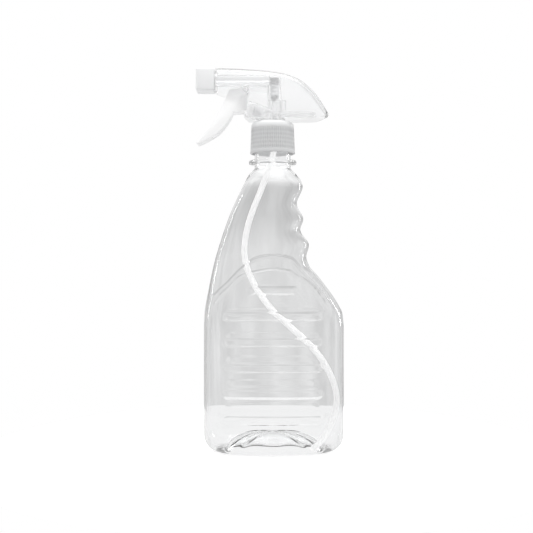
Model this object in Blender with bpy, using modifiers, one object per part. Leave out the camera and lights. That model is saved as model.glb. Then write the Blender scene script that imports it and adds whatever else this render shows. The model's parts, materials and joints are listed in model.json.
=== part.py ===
"""Clear trigger spray bottle: a 750 ml PET bottle with a hand-pump trigger sprayer.

Everything is in metres. The bottle stands on z = 0 and is built about its neck axis. The pieces
of the pump are built about the head's own origin, on the neck axis at the top of the closure.
+X points away from the nozzle and +Y is the bottle's thin direction.
"""
import math

import bmesh
import bpy
from mathutils import Vector

NAME = "trigger_spray_bottle"

# ---------------------------------------------------------------- clearances
GAP = 0.0003            # between pieces that touch
RUNNING = 0.00015       # around the piston and the seals

# ---------------------------------------------------------------- bottle
BODY_LEFT = 0.0478      # half-width from the neck axis, nozzle side
BODY_RIGHT = 0.0494     # half-width from the neck axis, grip side
BODY_DEPTH = 0.0300     # half-depth
BODY_SQUARE = 3.0       # exponent of the body's section (2 is an ellipse)
HEEL_R = 0.0120         # rounding between the wall and the base
SHOULDER_Z = 0.0840     # the straight body ends here
NECK_Z = 0.1970         # the shoulder meets the neck here
WALL = 0.0008
PUSH_UP = 0.0125        # height of the base's dome
STANDING = 0.0016       # width of the flat ring that the bottle stands on
RIB_COUNT = 5
RIB_FIRST_Z = 0.0250
RIB_TOP_OVER = 0.0105   # the last long rib lies this far above the straight body
RIB_HEIGHT = 0.0062
RIB_FLOOR = 0.0022      # height of a rib's flat bottom
RIB_DEPTH = 0.0013
RIB_HALF = 0.0333       # half-length of a long rib
SHORT_RIB_HALF = 0.0166

# Outlines above the straight body: (share of the way up to the neck, share of the way out
# from the neck's radius to the body's half-width).
LEFT_EDGE = [(0, 1), (0.105, 0.986), (0.254, 0.906), (0.403, 0.807), (0.52, 0.699),
             (0.644, 0.568), (0.756, 0.429), (0.886, 0.23), (0.96, 0.105), (1, 0)]
RIGHT_EDGE = [(0, 1), (0.10, 0.975), (0.145, 0.915), (0.33, 0.515), (0.39, 0.355),
              (0.449, 0.296), (0.52, 0.345), (0.615, 0.182), (0.681, 0.238),
              (0.775, 0.117), (0.886, 0.228), (0.96, 0.103), (1, 0)]
DEPTH_EDGE = [(0, 1), (0.15, 0.94), (0.35, 0.73), (0.55, 0.51), (0.75, 0.35),
              (0.9, 0.22), (0.96, 0.105), (1, 0)]

# ---------------------------------------------------------------- neck finish (28 mm)
NECK_R = 0.0126
NECK_WALL = 0.0018
BORE_R = NECK_R - NECK_WALL
FINISH_H = 0.0250       # neck's foot to the lip
LIP_ROUND = 0.0004
RING_PROUD = 0.0040     # the support ring stands this far out of the neck
RING_R = NECK_R + RING_PROUD
RING_H = 0.0026
RING_ROUND = 0.0003
RING_UP = 0.0022        # neck's foot to the underside of the support ring
THICKENING = 0.0120     # the body's wall grows to the neck's over this height
PITCH = 0.004233        # six turns to the inch
THREAD_R = 0.00095      # radius of a thread's round ridge
THREAD_PROUD = 0.0011   # height of the bottle's thread over the neck
BOTTLE_TURNS = 1.6
COLLAR_TURNS = 1.25
THREAD_ROOM = 0.0006    # between the bottle's ridge and the closure's bore
THREAD_DOWN = 0.0030    # lip to the top end of the thread

# ---------------------------------------------------------------- closure
COLLAR_BORE_R = NECK_R + THREAD_PROUD + THREAD_ROOM
COLLAR_WALL = 0.0014
COLLAR_R = COLLAR_BORE_R + COLLAR_WALL      # at its foot
COLLAR_DRAFT = 0.0008                       # narrower by this at the top
COLLAR_H = 0.0220
COLLAR_ROUND = 0.0025
COLLAR_HOLE_R = 0.0090
COLLAR_PLATE = 0.0023
GASKET_T = 0.0012
GASKET_BORE_R = 0.0090
FLANGE_T = 0.0022
FLANGE_R = NECK_R - GAP

LIP_Z = NECK_Z + FINISH_H
THREAD_LOW = LIP_Z - THREAD_DOWN - BOTTLE_TURNS * PITCH
GASKET_Z = LIP_Z + GAP
FLANGE_Z = GASKET_Z + GASKET_T + GAP
HEAD_Z = FLANGE_Z + FLANGE_T + GAP + COLLAR_PLATE      # top of the closure

# ---------------------------------------------------------------- sprayer body, from HEAD_Z
SHANK_R = COLLAR_HOLE_R - GAP
SHANK_TOP = 0.0024
CONE_TOP = 0.0060
CHIMNEY_X = 0.0012
CHIMNEY_R = 0.0049
OVERCUT = 0.0010        # a cutter runs this far past the face that it opens
CHIMNEY_TOP = 0.0310
BARREL_Z = 0.0292
BARREL_R = 0.0042
BARREL_END = 0.0495     # distance in front of the neck axis
BARREL_BORE_R = 0.0027
BARREL_BORE_END = 0.0410
PASSAGE_R = 0.0013
PASSAGE_Z = 0.0279
SOCKET_R = 0.0050       # takes the tube holder
SOCKET_TOP = 0.0010
BALL_ROOM_R = 0.0026
BALL_ROOM_TOP = 0.0050
RISER_R = 0.0016
SEAT_Z = 0.0156         # seat of the outlet valve
VALVE_ROOM_R = 0.0036
BALL_PLAY = 0.0006          # around the inlet ball
VALVE_PLAY = 0.0008         # around the outlet valve's head
VALVE_HEAD_T = 0.0010
VALVE_HEAD_UP = 0.0027      # seat to the top of the outlet valve
VALVE_TIP = 0.0006          # the valve's stem reaches this far below its seat
VALVE_WIRE = 0.0004
VALVE_SPRING_IN = 0.0012    # spring's centre line to the room's wall
VALVE_TURNS = 2.6
PLUG_SHOULDER = (-0.0010, 0.0008)   # foot and shoulder of the chimney's plug, from PASSAGE_Z
PLUG_STEP = 0.0005
PORT_R = 0.0012
PORT_Z = 0.0079
POST_R = 0.00175        # small blind post against the back of the chimney
POST_X = CHIMNEY_X + CHIMNEY_R + POST_R - 0.0002
POST_Z = (0.0064, 0.0154)
TAIL_Z = (0.0044, 0.0064)   # plate under the shroud's tail
TAIL_R = 0.0086
TAIL_X = 0.0215

# ---------------------------------------------------------------- pump
TILT = math.radians(18)     # the cylinder slopes down towards the chimney
STROKE = 0.0060
CYLINDER_BORE_R = 0.0046
CYLINDER_WALL = 0.0011
CYLINDER_R = CYLINDER_BORE_R + CYLINDER_WALL
PUMP_RISE = 0.0060          # the cylinder's radius and this give the height of the piston's tip
NOSE = (-0.0238, CYLINDER_R + PUMP_RISE)    # tip of the piston at rest, x and z
MOUTH = STROKE + GAP        # tip of the piston to the cylinder's mouth
HEAD_IN = 0.0010            # the piston's head lies this far inside the mouth
HEAD_LENGTH = 0.0036
BORE_SPARE = 0.0014         # bore left behind the piston at full stroke
BORE_DEPTH = HEAD_IN + HEAD_LENGTH + STROKE + BORE_SPARE
ROD_R = 0.0026
NOSE_ROUND = 0.0004
HEAD_PLAY = 0.0003          # the piston's head is narrower than its seal by this
SEAL_DEPTH = 0.0009         # of the seal's groove, from the bore
SEAL_PLACE = (0.0012, 0.0024)   # the groove's two sides, from the front of the head
CUP_R = CYLINDER_BORE_R - 0.0011    # hollow in the piston's head, for the spring
CUP_DEPTH = 0.0024
SPRING_R = CUP_R - 0.0007
SPRING_WIRE = 0.0003
SPRING_TURNS = 5

# ---------------------------------------------------------------- trigger
PULL = math.radians(30)
PUSHER_R = 0.0015
TRIGGER_SIDE = 0.0013       # side walls
TRIGGER_IN = CYLINDER_R + 2 * GAP           # half-width inside
TRIGGER_OUT = TRIGGER_IN + TRIGGER_SIDE     # half-width outside
TRIGGER_WEB = 0.0018        # front wall
TRIGGER_ROUND = 0.0004
SHELF_HALF = 0.0010         # half-thickness of the web that carries the pusher
EAR_R = 0.0027
PIN_R = 0.0014
HUB_R = 0.0023
HANGER_HALF = (0.0014, 0.0012)      # half-sizes of the post that carries the hub, along x and y
RIB_HALF_T = 0.0008                 # half-thickness of the rib from the hub to the chimney
# Side outline below the ear, from the top of the front edge down to the tip and back up.
FRONT_EDGE = [(-0.0298, 0.0220), (-0.0340, 0.0136), (-0.0389, 0.0044), (-0.0445, -0.0039),
              (-0.0529, -0.0151)]
REAR_EDGE = [(-0.0521, -0.0156), (-0.0473, -0.0137), (-0.0389, -0.0088), (-0.0333, -0.0032),
             (-0.0290, 0.0031), (-0.0277, 0.0064), (-0.0179, 0.0074)]

# ---------------------------------------------------------------- nozzle, along the barrel
NOZZLE_SIDE = 0.0158
NOZZLE_FACE = 0.0533        # distance in front of the neck axis
NOZZLE_BACK = 0.0401
NOZZLE_ROUND = 0.0016
NOZZLE_ROOM = 0.0012        # between the barrel and the nozzle's bore
NOZZLE_BORE_R = BARREL_R + NOZZLE_ROOM
NOZZLE_WALL = 0.0023        # front wall
ORIFICE_HOLE_R = 0.0031
SPRAY_R = 0.0004            # of the hole that sprays
CUP_SUNK = 0.0004           # nozzle's face to the orifice cup's
CUP_DISH = 0.0008           # depth of the cup's dished front
NOZZLE_SEAL = (0.0024, 0.0036)      # the seal's two sides, from the nozzle's back
SPINNER_STEP = 0.0005       # the spinner's head is narrower than the barrel by this
SPINNER_REST = 0.0016       # end of the barrel's front bore to the spinner

# ---------------------------------------------------------------- shroud, from HEAD_Z
SHROUD_WALL = 0.0012
SHROUD_SQUARE = 4.5      # exponent of its arched section
SHROUD_FRONT = -0.0398
SHROUD_TAIL = 0.0388
SHROUD_TIP = 0.0022      # solid tip of the tail
SHROUD_TOP = [(-0.0403, 0.0374), (-0.0144, 0.0362), (0.0045, 0.0341), (0.0171, 0.0300),
              (0.0276, 0.0218), (0.0339, 0.0136), (0.0392, 0.0052)]
SHROUD_FOOT = [(-0.0403, 0.0018), (0.0280, 0.0018), (0.0332, 0.0028), (0.0392, 0.0048)]
# Half-width over that of the trigger.
SHROUD_SIDE = [(-0.0403, 0.0007), (-0.0300, 0.0019), (-0.0150, 0.0032), (0.0050, 0.0042),
               (0.0180, 0.0044), (0.0270, 0.0036), (0.0330, 0.0018), (0.0392, -0.0034)]
# Opening for the trigger: the shroud's lower front edge, from the nozzle back to the collar.
OPENING = [(-0.0500, 0.0214), (-0.0396, 0.0212), (-0.0322, 0.0184), (-0.0245, 0.0172),
           (-0.0214, 0.0140), (-0.0203, 0.0052), (-0.0158, 0.0010), (-0.0150, -0.0040),
           (-0.0500, -0.0040)]

# ---------------------------------------------------------------- dip tube
TUBE_R = 0.0020
TUBE_WALL = 0.0006
HOLDER_FOOT = 0.0150        # below HEAD_Z
TUBE_TOP = 0.0029           # below HEAD_Z
HOLDER_WALL = 0.0011        # at the holder's foot
HOLDER_STEP = 0.0010        # the holder narrows by this below its flange
HOLDER_FLANGE_T = 0.0009
SEAT_LIP = 0.0004           # a valve's seat stands this far into its room
SEAT_DROP = 0.0013          # depth of the ball's conical seat
# Route below the holder, as shares of the right half-width, the half-depth and NECK_Z.
TUBE_ROUTE = [(-0.036, 0, 1.013), (-0.156, 0, 0.927), (-0.281, 0, 0.849), (-0.368, 0, 0.775),
              (-0.4, 0, 0.699), (-0.344, -0.02, 0.632), (-0.202, -0.05, 0.562),
              (-0.01, -0.1, 0.498), (0.235, -0.143, 0.44), (0.512, -0.2, 0.377),
              (0.743, -0.247, 0.302), (0.885, -0.3, 0.208), (0.846, -0.407, 0.128),
              (0.69, -0.59, 0.058), (0.53, -0.665, 0.0205)]

# ---------------------------------------------------------------- derived places
NECK_X = (NOZZLE_FACE - BODY_RIGHT) / 2     # centres the whole object on x = 0
AXIS = Vector((math.cos(TILT), 0, -math.sin(TILT)))
NOSE_AT = Vector((NOSE[0], 0, NOSE[1]))
PUSHER_AT = NOSE_AT - AXIS * (PUSHER_R + GAP)
LEVER = STROKE / (2 * math.sin(PULL / 2))
PIVOT = PUSHER_AT + LEVER * Vector((math.sin(TILT + PULL / 2), 0, math.cos(TILT + PULL / 2)))

SEGMENTS = 32               # around the bottle
ROUND = 28                  # around a turned piece
SMALL = 16                  # around a small turned piece


# ================================================================ scene helpers
def clear_scene():
    for item in list(bpy.data.objects):
        bpy.data.objects.remove(item, do_unlink=True)


def new_collection(name):
    collection = bpy.data.collections.new(name)
    bpy.context.scene.collection.children.link(collection)
    return collection


def new_empty(name, location, rotation=(0, 0, 0), parent=None):
    empty = bpy.data.objects.new(name, None)
    empty.location = location
    empty.rotation_euler = rotation
    empty.parent = parent
    parts.objects.link(empty)
    return empty


def new_object(name, mesh, parent, location=(0, 0, 0), rotation=(0, 0, 0)):
    item = bpy.data.objects.new(name, mesh)
    item.location = location
    item.rotation_euler = rotation
    item.parent = parent
    parts.objects.link(item)
    return item


def paint(item, colour, roughness, metallic=0.0, alpha=1.0):
    """Give a piece its own Principled material."""
    material = bpy.data.materials.new(item.name)
    material.use_nodes = True
    shader = material.node_tree.nodes["Principled BSDF"]
    shader.inputs["Base Color"].default_value = (*colour, 1)
    shader.inputs["Roughness"].default_value = roughness
    shader.inputs["Metallic"].default_value = metallic
    shader.inputs["Alpha"].default_value = alpha
    item.data.materials.clear()
    item.data.materials.append(material)


def smooth_shading(item, degrees=35):
    item.data.shade_smooth()
    item.data.set_sharp_from_angle(angle=math.radians(degrees))


def as_tool(item):
    """Turn a piece into a hidden Boolean operand."""
    parts.objects.unlink(item)
    tools.objects.link(item)
    item.hide_render = True
    item.display_type = "WIRE"
    return item


def combine(item, tool, operation):
    modifier = item.modifiers.new(operation.title() + " " + tool.name, "BOOLEAN")
    modifier.operation = operation
    modifier.object = as_tool(tool)
    modifier.solver = "EXACT"


def join(item, *pieces):
    for piece in pieces:
        combine(item, piece, "UNION")


def cut(item, *pieces):
    for piece in pieces:
        combine(item, piece, "DIFFERENCE")


def bevel(item, width, segments=2, degrees=40):
    modifier = item.modifiers.new("Bevel", "BEVEL")
    modifier.width = width
    modifier.segments = segments
    modifier.limit_method = "ANGLE"
    modifier.angle_limit = math.radians(degrees)


# ================================================================ shape helpers
def smooth(points, place):
    """Value at a place on the monotone cubic curve through (place, value) points."""
    if place <= points[0][0]:
        return points[0][1]
    if place >= points[-1][0]:
        return points[-1][1]
    slopes = [(b[1] - a[1]) / (b[0] - a[0]) for a, b in zip(points, points[1:])]
    tangents = [0.0]
    for before, after in zip(slopes, slopes[1:]):
        same = before * after > 0
        tangents.append(2 * before * after / (before + after) if same else 0.0)
    tangents.append(slopes[-1] if abs(points[-1][1]) > 0 else 0.0)
    k = max(i for i, point in enumerate(points) if point[0] <= place)
    (x0, y0), (x1, y1) = points[k], points[k + 1]
    h = x1 - x0
    t = (place - x0) / h
    return (y0 * (1 + 2 * t) * (1 - t) ** 2 + y1 * t * t * (3 - 2 * t)
            + h * t * (1 - t) * (tangents[k] * (1 - t) - tangents[k + 1] * t))


def ease(value):
    value = min(max(value, 0.0), 1.0)
    return value * value * (3 - 2 * value)


def mesh_from_rings(name, rings, poles=()):
    """Skin a list of rings of equal length; a pole closes that end with a fan."""
    bm = bmesh.new()
    loops = [[bm.verts.new(point) for point in ring] for ring in rings]
    count = len(loops[0])
    for low, high in zip(loops, loops[1:]):
        for i in range(count):
            j = (i + 1) % count
            bm.faces.new((low[i], low[j], high[j], high[i]))
    for end, pole in zip((0, -1), poles):
        loop = loops[end] if end else loops[end][::-1]
        if pole is None:
            bm.faces.new(loop)
            continue
        tip = bm.verts.new(pole)
        for i in range(count):
            bm.faces.new((loop[i], loop[(i + 1) % count], tip))
    mesh = bpy.data.meshes.new(name)
    bm.to_mesh(mesh)
    bm.free()
    return mesh


def turned(name, profile, parent, location=(0, 0, 0), steps=ROUND, ring=False):
    """Revolve (radius, height) points, listed down the outer side, about the local Z axis."""
    mesh = bpy.data.meshes.new(name)
    edges = [(i, i + 1) for i in range(len(profile) - 1)]
    if ring:
        edges.append((len(profile) - 1, 0))
    mesh.from_pydata([(radius, 0, height) for radius, height in profile], edges, [])
    item = new_object(name, mesh, parent, location)
    screw = item.modifiers.new("Screw", "SCREW")
    screw.angle = math.tau
    screw.steps = screw.render_steps = steps
    screw.use_merge_vertices = True
    screw.merge_threshold = 0.00001
    screw.use_smooth_shade = True
    return item


def rod(name, radius, low, high, parent, x=0.0, steps=ROUND):
    """A plain round bar between two heights on the local Z axis."""
    return turned(name, [(0, high), (radius, high), (radius, low), (0, low)], parent,
                  (x, 0, 0), steps)


def cross_bar(name, radius, half, parent, location, steps=SMALL):
    """A round bar along Y."""
    bm = bmesh.new()
    bmesh.ops.create_cone(bm, cap_ends=True, segments=steps, radius1=radius, radius2=radius,
                          depth=2 * half)
    mesh = bpy.data.meshes.new(name)
    bm.to_mesh(mesh)
    bm.free()
    return new_object(name, mesh, parent, location, (math.pi / 2, 0, 0))


def box(name, low, high, parent):
    bm = bmesh.new()
    bmesh.ops.create_cube(bm, size=1)
    low, high = Vector(low), Vector(high)
    for vert in bm.verts:
        vert.co = (low + high) / 2 + vert.co * (high - low)
    mesh = bpy.data.meshes.new(name)
    bm.to_mesh(mesh)
    bm.free()
    return new_object(name, mesh, parent)


def curve_to_mesh(item, origin_parent):
    """Replace a curve object by the welded mesh that it draws."""
    bpy.context.view_layer.update()
    graph = bpy.context.evaluated_depsgraph_get()
    mesh = bpy.data.meshes.new_from_object(item.evaluated_get(graph))
    bm = bmesh.new()
    bm.from_mesh(mesh)
    bmesh.ops.remove_doubles(bm, verts=bm.verts, dist=0.000001)
    bm.to_mesh(mesh)
    bm.free()
    name, place, turn = item.name, item.location.copy(), item.rotation_euler.copy()
    curve = item.data
    bpy.data.objects.remove(item, do_unlink=True)
    bpy.data.curves.remove(curve)
    mesh.name = name
    return new_object(name, mesh, origin_parent, place, turn)


def plate(name, outline, half, parent, location=(0, 0, 0)):
    """A flat (x, z) outline given its thickness along Y."""
    curve = bpy.data.curves.new(name, "CURVE")
    curve.dimensions = "2D"
    curve.fill_mode = "BOTH"
    curve.extrude = half
    spline = curve.splines.new("POLY")
    spline.points.add(len(outline) - 1)
    for point, (x, z) in zip(spline.points, outline):
        point.co = (x, z, 0, 1)
    spline.use_cyclic_u = True
    item = bpy.data.objects.new(name, curve)
    item.location = location
    item.rotation_euler = (math.pi / 2, 0, 0)
    item.parent = parent
    parts.objects.link(item)
    return curve_to_mesh(item, parent)


def wire(name, points, radius, parent, resolution=1, caps=True):
    """A round bar along a line of points."""
    curve = bpy.data.curves.new(name, "CURVE")
    curve.dimensions = "3D"
    curve.bevel_depth = radius
    curve.bevel_resolution = resolution
    curve.use_fill_caps = caps
    spline = curve.splines.new("POLY")
    spline.points.add(len(points) - 1)
    for point, place in zip(spline.points, points):
        point.co = (*place, 1)
    item = bpy.data.objects.new(name, curve)
    item.parent = parent
    parts.objects.link(item)
    return curve_to_mesh(item, parent)


def helix(radius, pitch, turns, low, start=0.0, per_turn=16):
    """Points of a right-handed helix about the local Z axis."""
    count = max(2, round(turns * per_turn))
    angles = [math.tau * turns * i / count for i in range(count + 1)]
    return [(radius * math.cos(start + a), radius * math.sin(start + a),
             low + pitch * a / math.tau) for a in angles]


def through(points, step):
    """Points about a step apart on the smooth (Catmull-Rom) line through the given ones."""
    points = [Vector(point) for point in points]
    padded = [2 * points[0] - points[1], *points, 2 * points[-1] - points[-2]]
    line = []
    for a, b, c, d in zip(padded, padded[1:], padded[2:], padded[3:]):
        count = max(1, round((c - b).length / step))
        for i in range(count):
            t = i / count
            line.append(0.5 * (2 * b + (c - a) * t + (2 * a - 5 * b + 4 * c - d) * t * t
                               + (3 * b - a - 3 * c + d) * t ** 3))
    return [*line, points[-1]]


# ================================================================ bottle
def section(z, inset):
    """Left, right and depth half-widths and the exponent of the bottle's section."""
    up = min(max((z - SHOULDER_Z) / (NECK_Z - SHOULDER_Z), 0.0), 1.0)
    heel = HEEL_R - math.sqrt(HEEL_R ** 2 - max(HEEL_R - z, 0.0) ** 2)
    left = NECK_R + (BODY_LEFT - NECK_R) * smooth(LEFT_EDGE, up)
    right = NECK_R + (BODY_RIGHT - NECK_R) * smooth(RIGHT_EDGE, up)
    share = smooth(DEPTH_EDGE, up)
    depth = NECK_R + (BODY_DEPTH - NECK_R) * share
    square = 2 + (BODY_SQUARE - 2) * share
    return left - heel - inset, right - heel - inset, depth - heel - inset, square


def rib_places():
    """Centre height and half-length of each groove across the front and back walls."""
    last = SHOULDER_Z + RIB_TOP_OVER
    pitch = (last - RIB_FIRST_Z) / (RIB_COUNT - 1)
    places = [(RIB_FIRST_Z + pitch * i, RIB_HALF) for i in range(RIB_COUNT)]
    return [*places, (last + pitch, SHORT_RIB_HALF)]


def recess(x, z):
    """Depth of the ribs at a point of the front or back wall."""
    depth = 0.0
    for middle, half in rib_places():
        slope = (RIB_HEIGHT - RIB_FLOOR) / 2
        across = ease((RIB_HEIGHT / 2 - abs(z - middle)) / slope)
        along = ease((half - abs(x)) / RIB_HEIGHT)
        depth = max(depth, RIB_DEPTH * across * along)
    return depth


def bottle_ring(z, inset, scale=1.0, lift=0.0):
    left, right, depth, square = section(z, inset)
    ring = []
    for i in range(SEGMENTS):
        angle = math.tau * i / SEGMENTS
        c, s = math.cos(angle), math.sin(angle)
        x = math.copysign(abs(c) ** (2 / square), c) * (right if c > 0 else left)
        y = math.copysign(abs(s) ** (2 / square), s) * depth
        if abs(s) > 0.6 and scale == 1.0:
            y -= math.copysign(recess(x, z), s)
        ring.append((x * scale, y * scale, z + lift))
    return ring


def neck_ring(radius, z):
    steps = [math.tau * i / SEGMENTS for i in range(SEGMENTS)]
    return [(radius * math.cos(a), radius * math.sin(a), z) for a in steps]


def bottle_levels():
    heel = [HEEL_R * (1 - math.cos(math.radians(a))) for a in (20, 40, 60, 90)]
    ribs = [middle + side * size / 2 for middle, _ in rib_places()
            for side in (-1, 1) for size in (RIB_HEIGHT, RIB_FLOOR)]
    top_rib = max(ribs)
    rise = NECK_Z - SHOULDER_Z
    shoulder = [SHOULDER_Z + rise * share for share in
                (0.1, 0.145, 0.36, 0.4, 0.449, 0.485, 0.52, 0.565, 0.615, 0.65, 0.681, 0.73,
                 0.775, 0.83, 0.886, 0.925, 0.96, 0.985)]
    rows = sorted(heel + ribs + [z for z in shoulder if abs(z - top_rib) > 0.0005])
    return [z for z, after in zip(rows, [*rows[1:], NECK_Z]) if after - z > 0.0004]


def base_rings(inset, floor):
    """The flat standing ring and the dome pushed up inside it, seen as rings and a pole."""
    flat = 1 - STANDING / (BODY_DEPTH - HEEL_R)
    rings = [bottle_ring(0.0, inset, flat * math.cos(rise), floor + PUSH_UP * math.sin(rise))
             for rise in map(math.radians, (0, 25, 50, 75))]
    return rings, (0, 0, floor + PUSH_UP)


def make_bottle(parent):
    levels = bottle_levels()
    outer_base, outer_pole = base_rings(0.0, 0.0)
    inner_base, inner_pole = base_rings(WALL, WALL)
    ring_z = NECK_Z + RING_UP
    outer = [*outer_base[::-1], bottle_ring(0.0, 0.0)]
    outer += [bottle_ring(z, 0.0) for z in levels]
    outer += [neck_ring(NECK_R, NECK_Z), neck_ring(NECK_R, ring_z),
              neck_ring(RING_R, ring_z + RING_ROUND),
              neck_ring(RING_R, ring_z + RING_H - RING_ROUND),
              neck_ring(NECK_R, ring_z + RING_H), neck_ring(NECK_R, LIP_Z - LIP_ROUND),
              neck_ring(NECK_R - LIP_ROUND, LIP_Z)]
    inner = [neck_ring(BORE_R, LIP_Z), neck_ring(BORE_R, NECK_Z)]
    for z in levels[::-1]:
        thick = WALL + (NECK_WALL - WALL) * ease((z - NECK_Z) / THICKENING + 1)
        inner.append(bottle_ring(max(z, WALL), thick))
    inner += [bottle_ring(0.0, WALL, 1.0, WALL), *inner_base]
    mesh = mesh_from_rings("bottle", outer + inner, (outer_pole, inner_pole))
    bottle = new_object("bottle", mesh, parent)
    ridge = wire("bottle_thread", helix(NECK_R + THREAD_PROUD - THREAD_R, PITCH, BOTTLE_TURNS,
                                        THREAD_LOW), THREAD_R, parent)
    join(bottle, ridge)
    smooth_shading(bottle, 40)
    paint(bottle, (0.92, 0.93, 0.94), 0.05, alpha=0.3)


# ================================================================ closure and gasket
def make_closure(parent):
    foot = HEAD_Z - COLLAR_H
    arc = [math.radians(a) for a in (0, 30, 60, 90)]
    crown = [(COLLAR_R - COLLAR_DRAFT - COLLAR_ROUND * (1 - math.sin(a)),
              HEAD_Z - COLLAR_ROUND * (1 - math.cos(a))) for a in arc]
    plate_z = HEAD_Z - COLLAR_PLATE
    profile = [(COLLAR_HOLE_R, HEAD_Z), *crown, (COLLAR_R, foot), (COLLAR_BORE_R, foot),
               (COLLAR_BORE_R, plate_z), (COLLAR_HOLE_R, plate_z)]
    collar = turned("closure_collar", profile, parent, steps=40, ring=True)
    # The two threads lie half a pitch apart, so they never touch as the closure screws.
    ridge = wire("collar_thread", helix(COLLAR_BORE_R - THREAD_PROUD + THREAD_R, PITCH,
                                        COLLAR_TURNS, THREAD_LOW - PITCH / 2), THREAD_R, parent)
    join(collar, ridge)
    paint(collar, (0.72, 0.73, 0.74), 0.35)
    gasket = turned("neck_gasket", [(NECK_R - GAP, GASKET_Z + GASKET_T), (NECK_R - GAP, GASKET_Z),
                                    (GASKET_BORE_R, GASKET_Z),
                                    (GASKET_BORE_R, GASKET_Z + GASKET_T)], parent, ring=True)
    paint(gasket, (0.85, 0.85, 0.84), 0.6)


# ================================================================ sprayer body
def make_body(head, barrel, pump):
    flange_foot = FLANGE_Z - HEAD_Z
    flange_top = flange_foot + FLANGE_T
    shank = [(0, CONE_TOP), (CHIMNEY_R + CHIMNEY_X, CONE_TOP), (SHANK_R, SHANK_TOP),
             (SHANK_R, flange_top), (FLANGE_R, flange_top), (FLANGE_R, flange_foot),
             (0, flange_foot)]
    body = turned("sprayer_body", shank, head)
    chimney = rod("chimney", CHIMNEY_R, 0, CHIMNEY_TOP, head, CHIMNEY_X)
    tube = rod("barrel_tube", BARREL_R, CHIMNEY_R / 3, BARREL_END, barrel)
    cylinder_end = (CHIMNEY_X - (CHIMNEY_R + VALVE_ROOM_R) / 2 - NOSE[0]) / math.cos(TILT)
    cylinder = rod("pump_cylinder", CYLINDER_R, MOUTH, cylinder_end, pump)
    post = rod("post", POST_R, *POST_Z, head, POST_X, SMALL)
    tail = box("tail_plate", (0, -TAIL_R, TAIL_Z[0]), (TAIL_X, TAIL_R, TAIL_Z[1]), head)
    tail_end = rod("tail_end", TAIL_R, *TAIL_Z, head, TAIL_X)
    hub = cross_bar("hub", HUB_R, TRIGGER_IN - GAP, head, PIVOT)
    hang_x, hang_y = HANGER_HALF
    hanger = box("hanger", (PIVOT.x - hang_x, -hang_y, PIVOT.z),
                 (PIVOT.x + hang_x, hang_y, BARREL_Z), head)
    web = box("web", (PIVOT.x, -RIB_HALF_T, PIVOT.z - hang_y),
              (CHIMNEY_X, RIB_HALF_T, BARREL_Z), head)
    join(body, chimney, tube, cylinder, post, tail, tail_end, hub, hanger, web)
    # The channel up the chimney: the holder's socket, the ball's room, the riser, the valve's room.
    open_top, open_foot = CHIMNEY_TOP + OVERCUT, flange_foot - OVERCUT
    channel = turned("channel", [(0, open_top), (VALVE_ROOM_R, open_top), (VALVE_ROOM_R, SEAT_Z),
                                 (RISER_R, SEAT_Z), (RISER_R, BALL_ROOM_TOP),
                                 (BALL_ROOM_R, BALL_ROOM_TOP), (BALL_ROOM_R, SOCKET_TOP),
                                 (SOCKET_R, SOCKET_TOP), (SOCKET_R, open_foot), (0, open_foot)],
                     head, (CHIMNEY_X, 0, 0))
    passage = rod("passage", PASSAGE_R, 0, BARREL_BORE_END + OVERCUT, barrel,
                  PASSAGE_Z - BARREL_Z, SMALL)
    front_bore = rod("front_bore", BARREL_BORE_R, BARREL_BORE_END, BARREL_END + OVERCUT, barrel)
    pump_bore = rod("pump_bore", CYLINDER_BORE_R, MOUTH - OVERCUT, MOUTH + BORE_DEPTH, pump)
    # Half a step round its axis, so that no seam of the pump lies on the chimney's seams.
    for item in (cylinder, pump_bore):
        item.rotation_euler.z = math.pi / ROUND
    # The port runs along the barrel from the riser into the bore's end, PORT_Z over the head.
    bore_end_x = NOSE[0] + (MOUTH + BORE_DEPTH) * math.cos(TILT)
    port = rod("port", PORT_R, -CHIMNEY_X, OVERCUT / 2 - bore_end_x, barrel, PORT_Z - BARREL_Z,
               SMALL)
    pin_hole = cross_bar("pin_hole", PIN_R + GAP, TRIGGER_OUT, head, PIVOT)
    join(channel, port, pump_bore, passage, front_bore, pin_hole)
    cut(body, channel)
    smooth_shading(body)
    paint(body, (0.9, 0.9, 0.9), 0.25, alpha=0.6)


# ================================================================ valves and dip tube
def make_holder(head):
    """The plug that holds the dip tube and carries the ball's seat."""
    top = SOCKET_TOP - GAP
    flange_top = GASKET_Z + GASKET_T - HEAD_Z
    tube_top = -TUBE_TOP + GAP
    flange_r = GASKET_BORE_R - CHIMNEY_X - GAP
    flange_foot = flange_top - HOLDER_FLANGE_T
    bore = RISER_R - SEAT_LIP
    profile = [(BALL_ROOM_R - SEAT_LIP, top), (SOCKET_R - RUNNING, top),
               (SOCKET_R - RUNNING, flange_top), (flange_r, flange_top),
               (flange_r, flange_foot), (SOCKET_R - HOLDER_STEP, flange_foot),
               (TUBE_R + GAP + HOLDER_WALL, -HOLDER_FOOT), (TUBE_R + GAP, -HOLDER_FOOT),
               (TUBE_R + GAP, tube_top), (bore, tube_top), (bore, top - SEAT_DROP)]
    holder = turned("tube_holder", profile, head, (CHIMNEY_X, 0, 0), ring=True)
    paint(holder, (0.93, 0.93, 0.93), 0.4)


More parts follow.
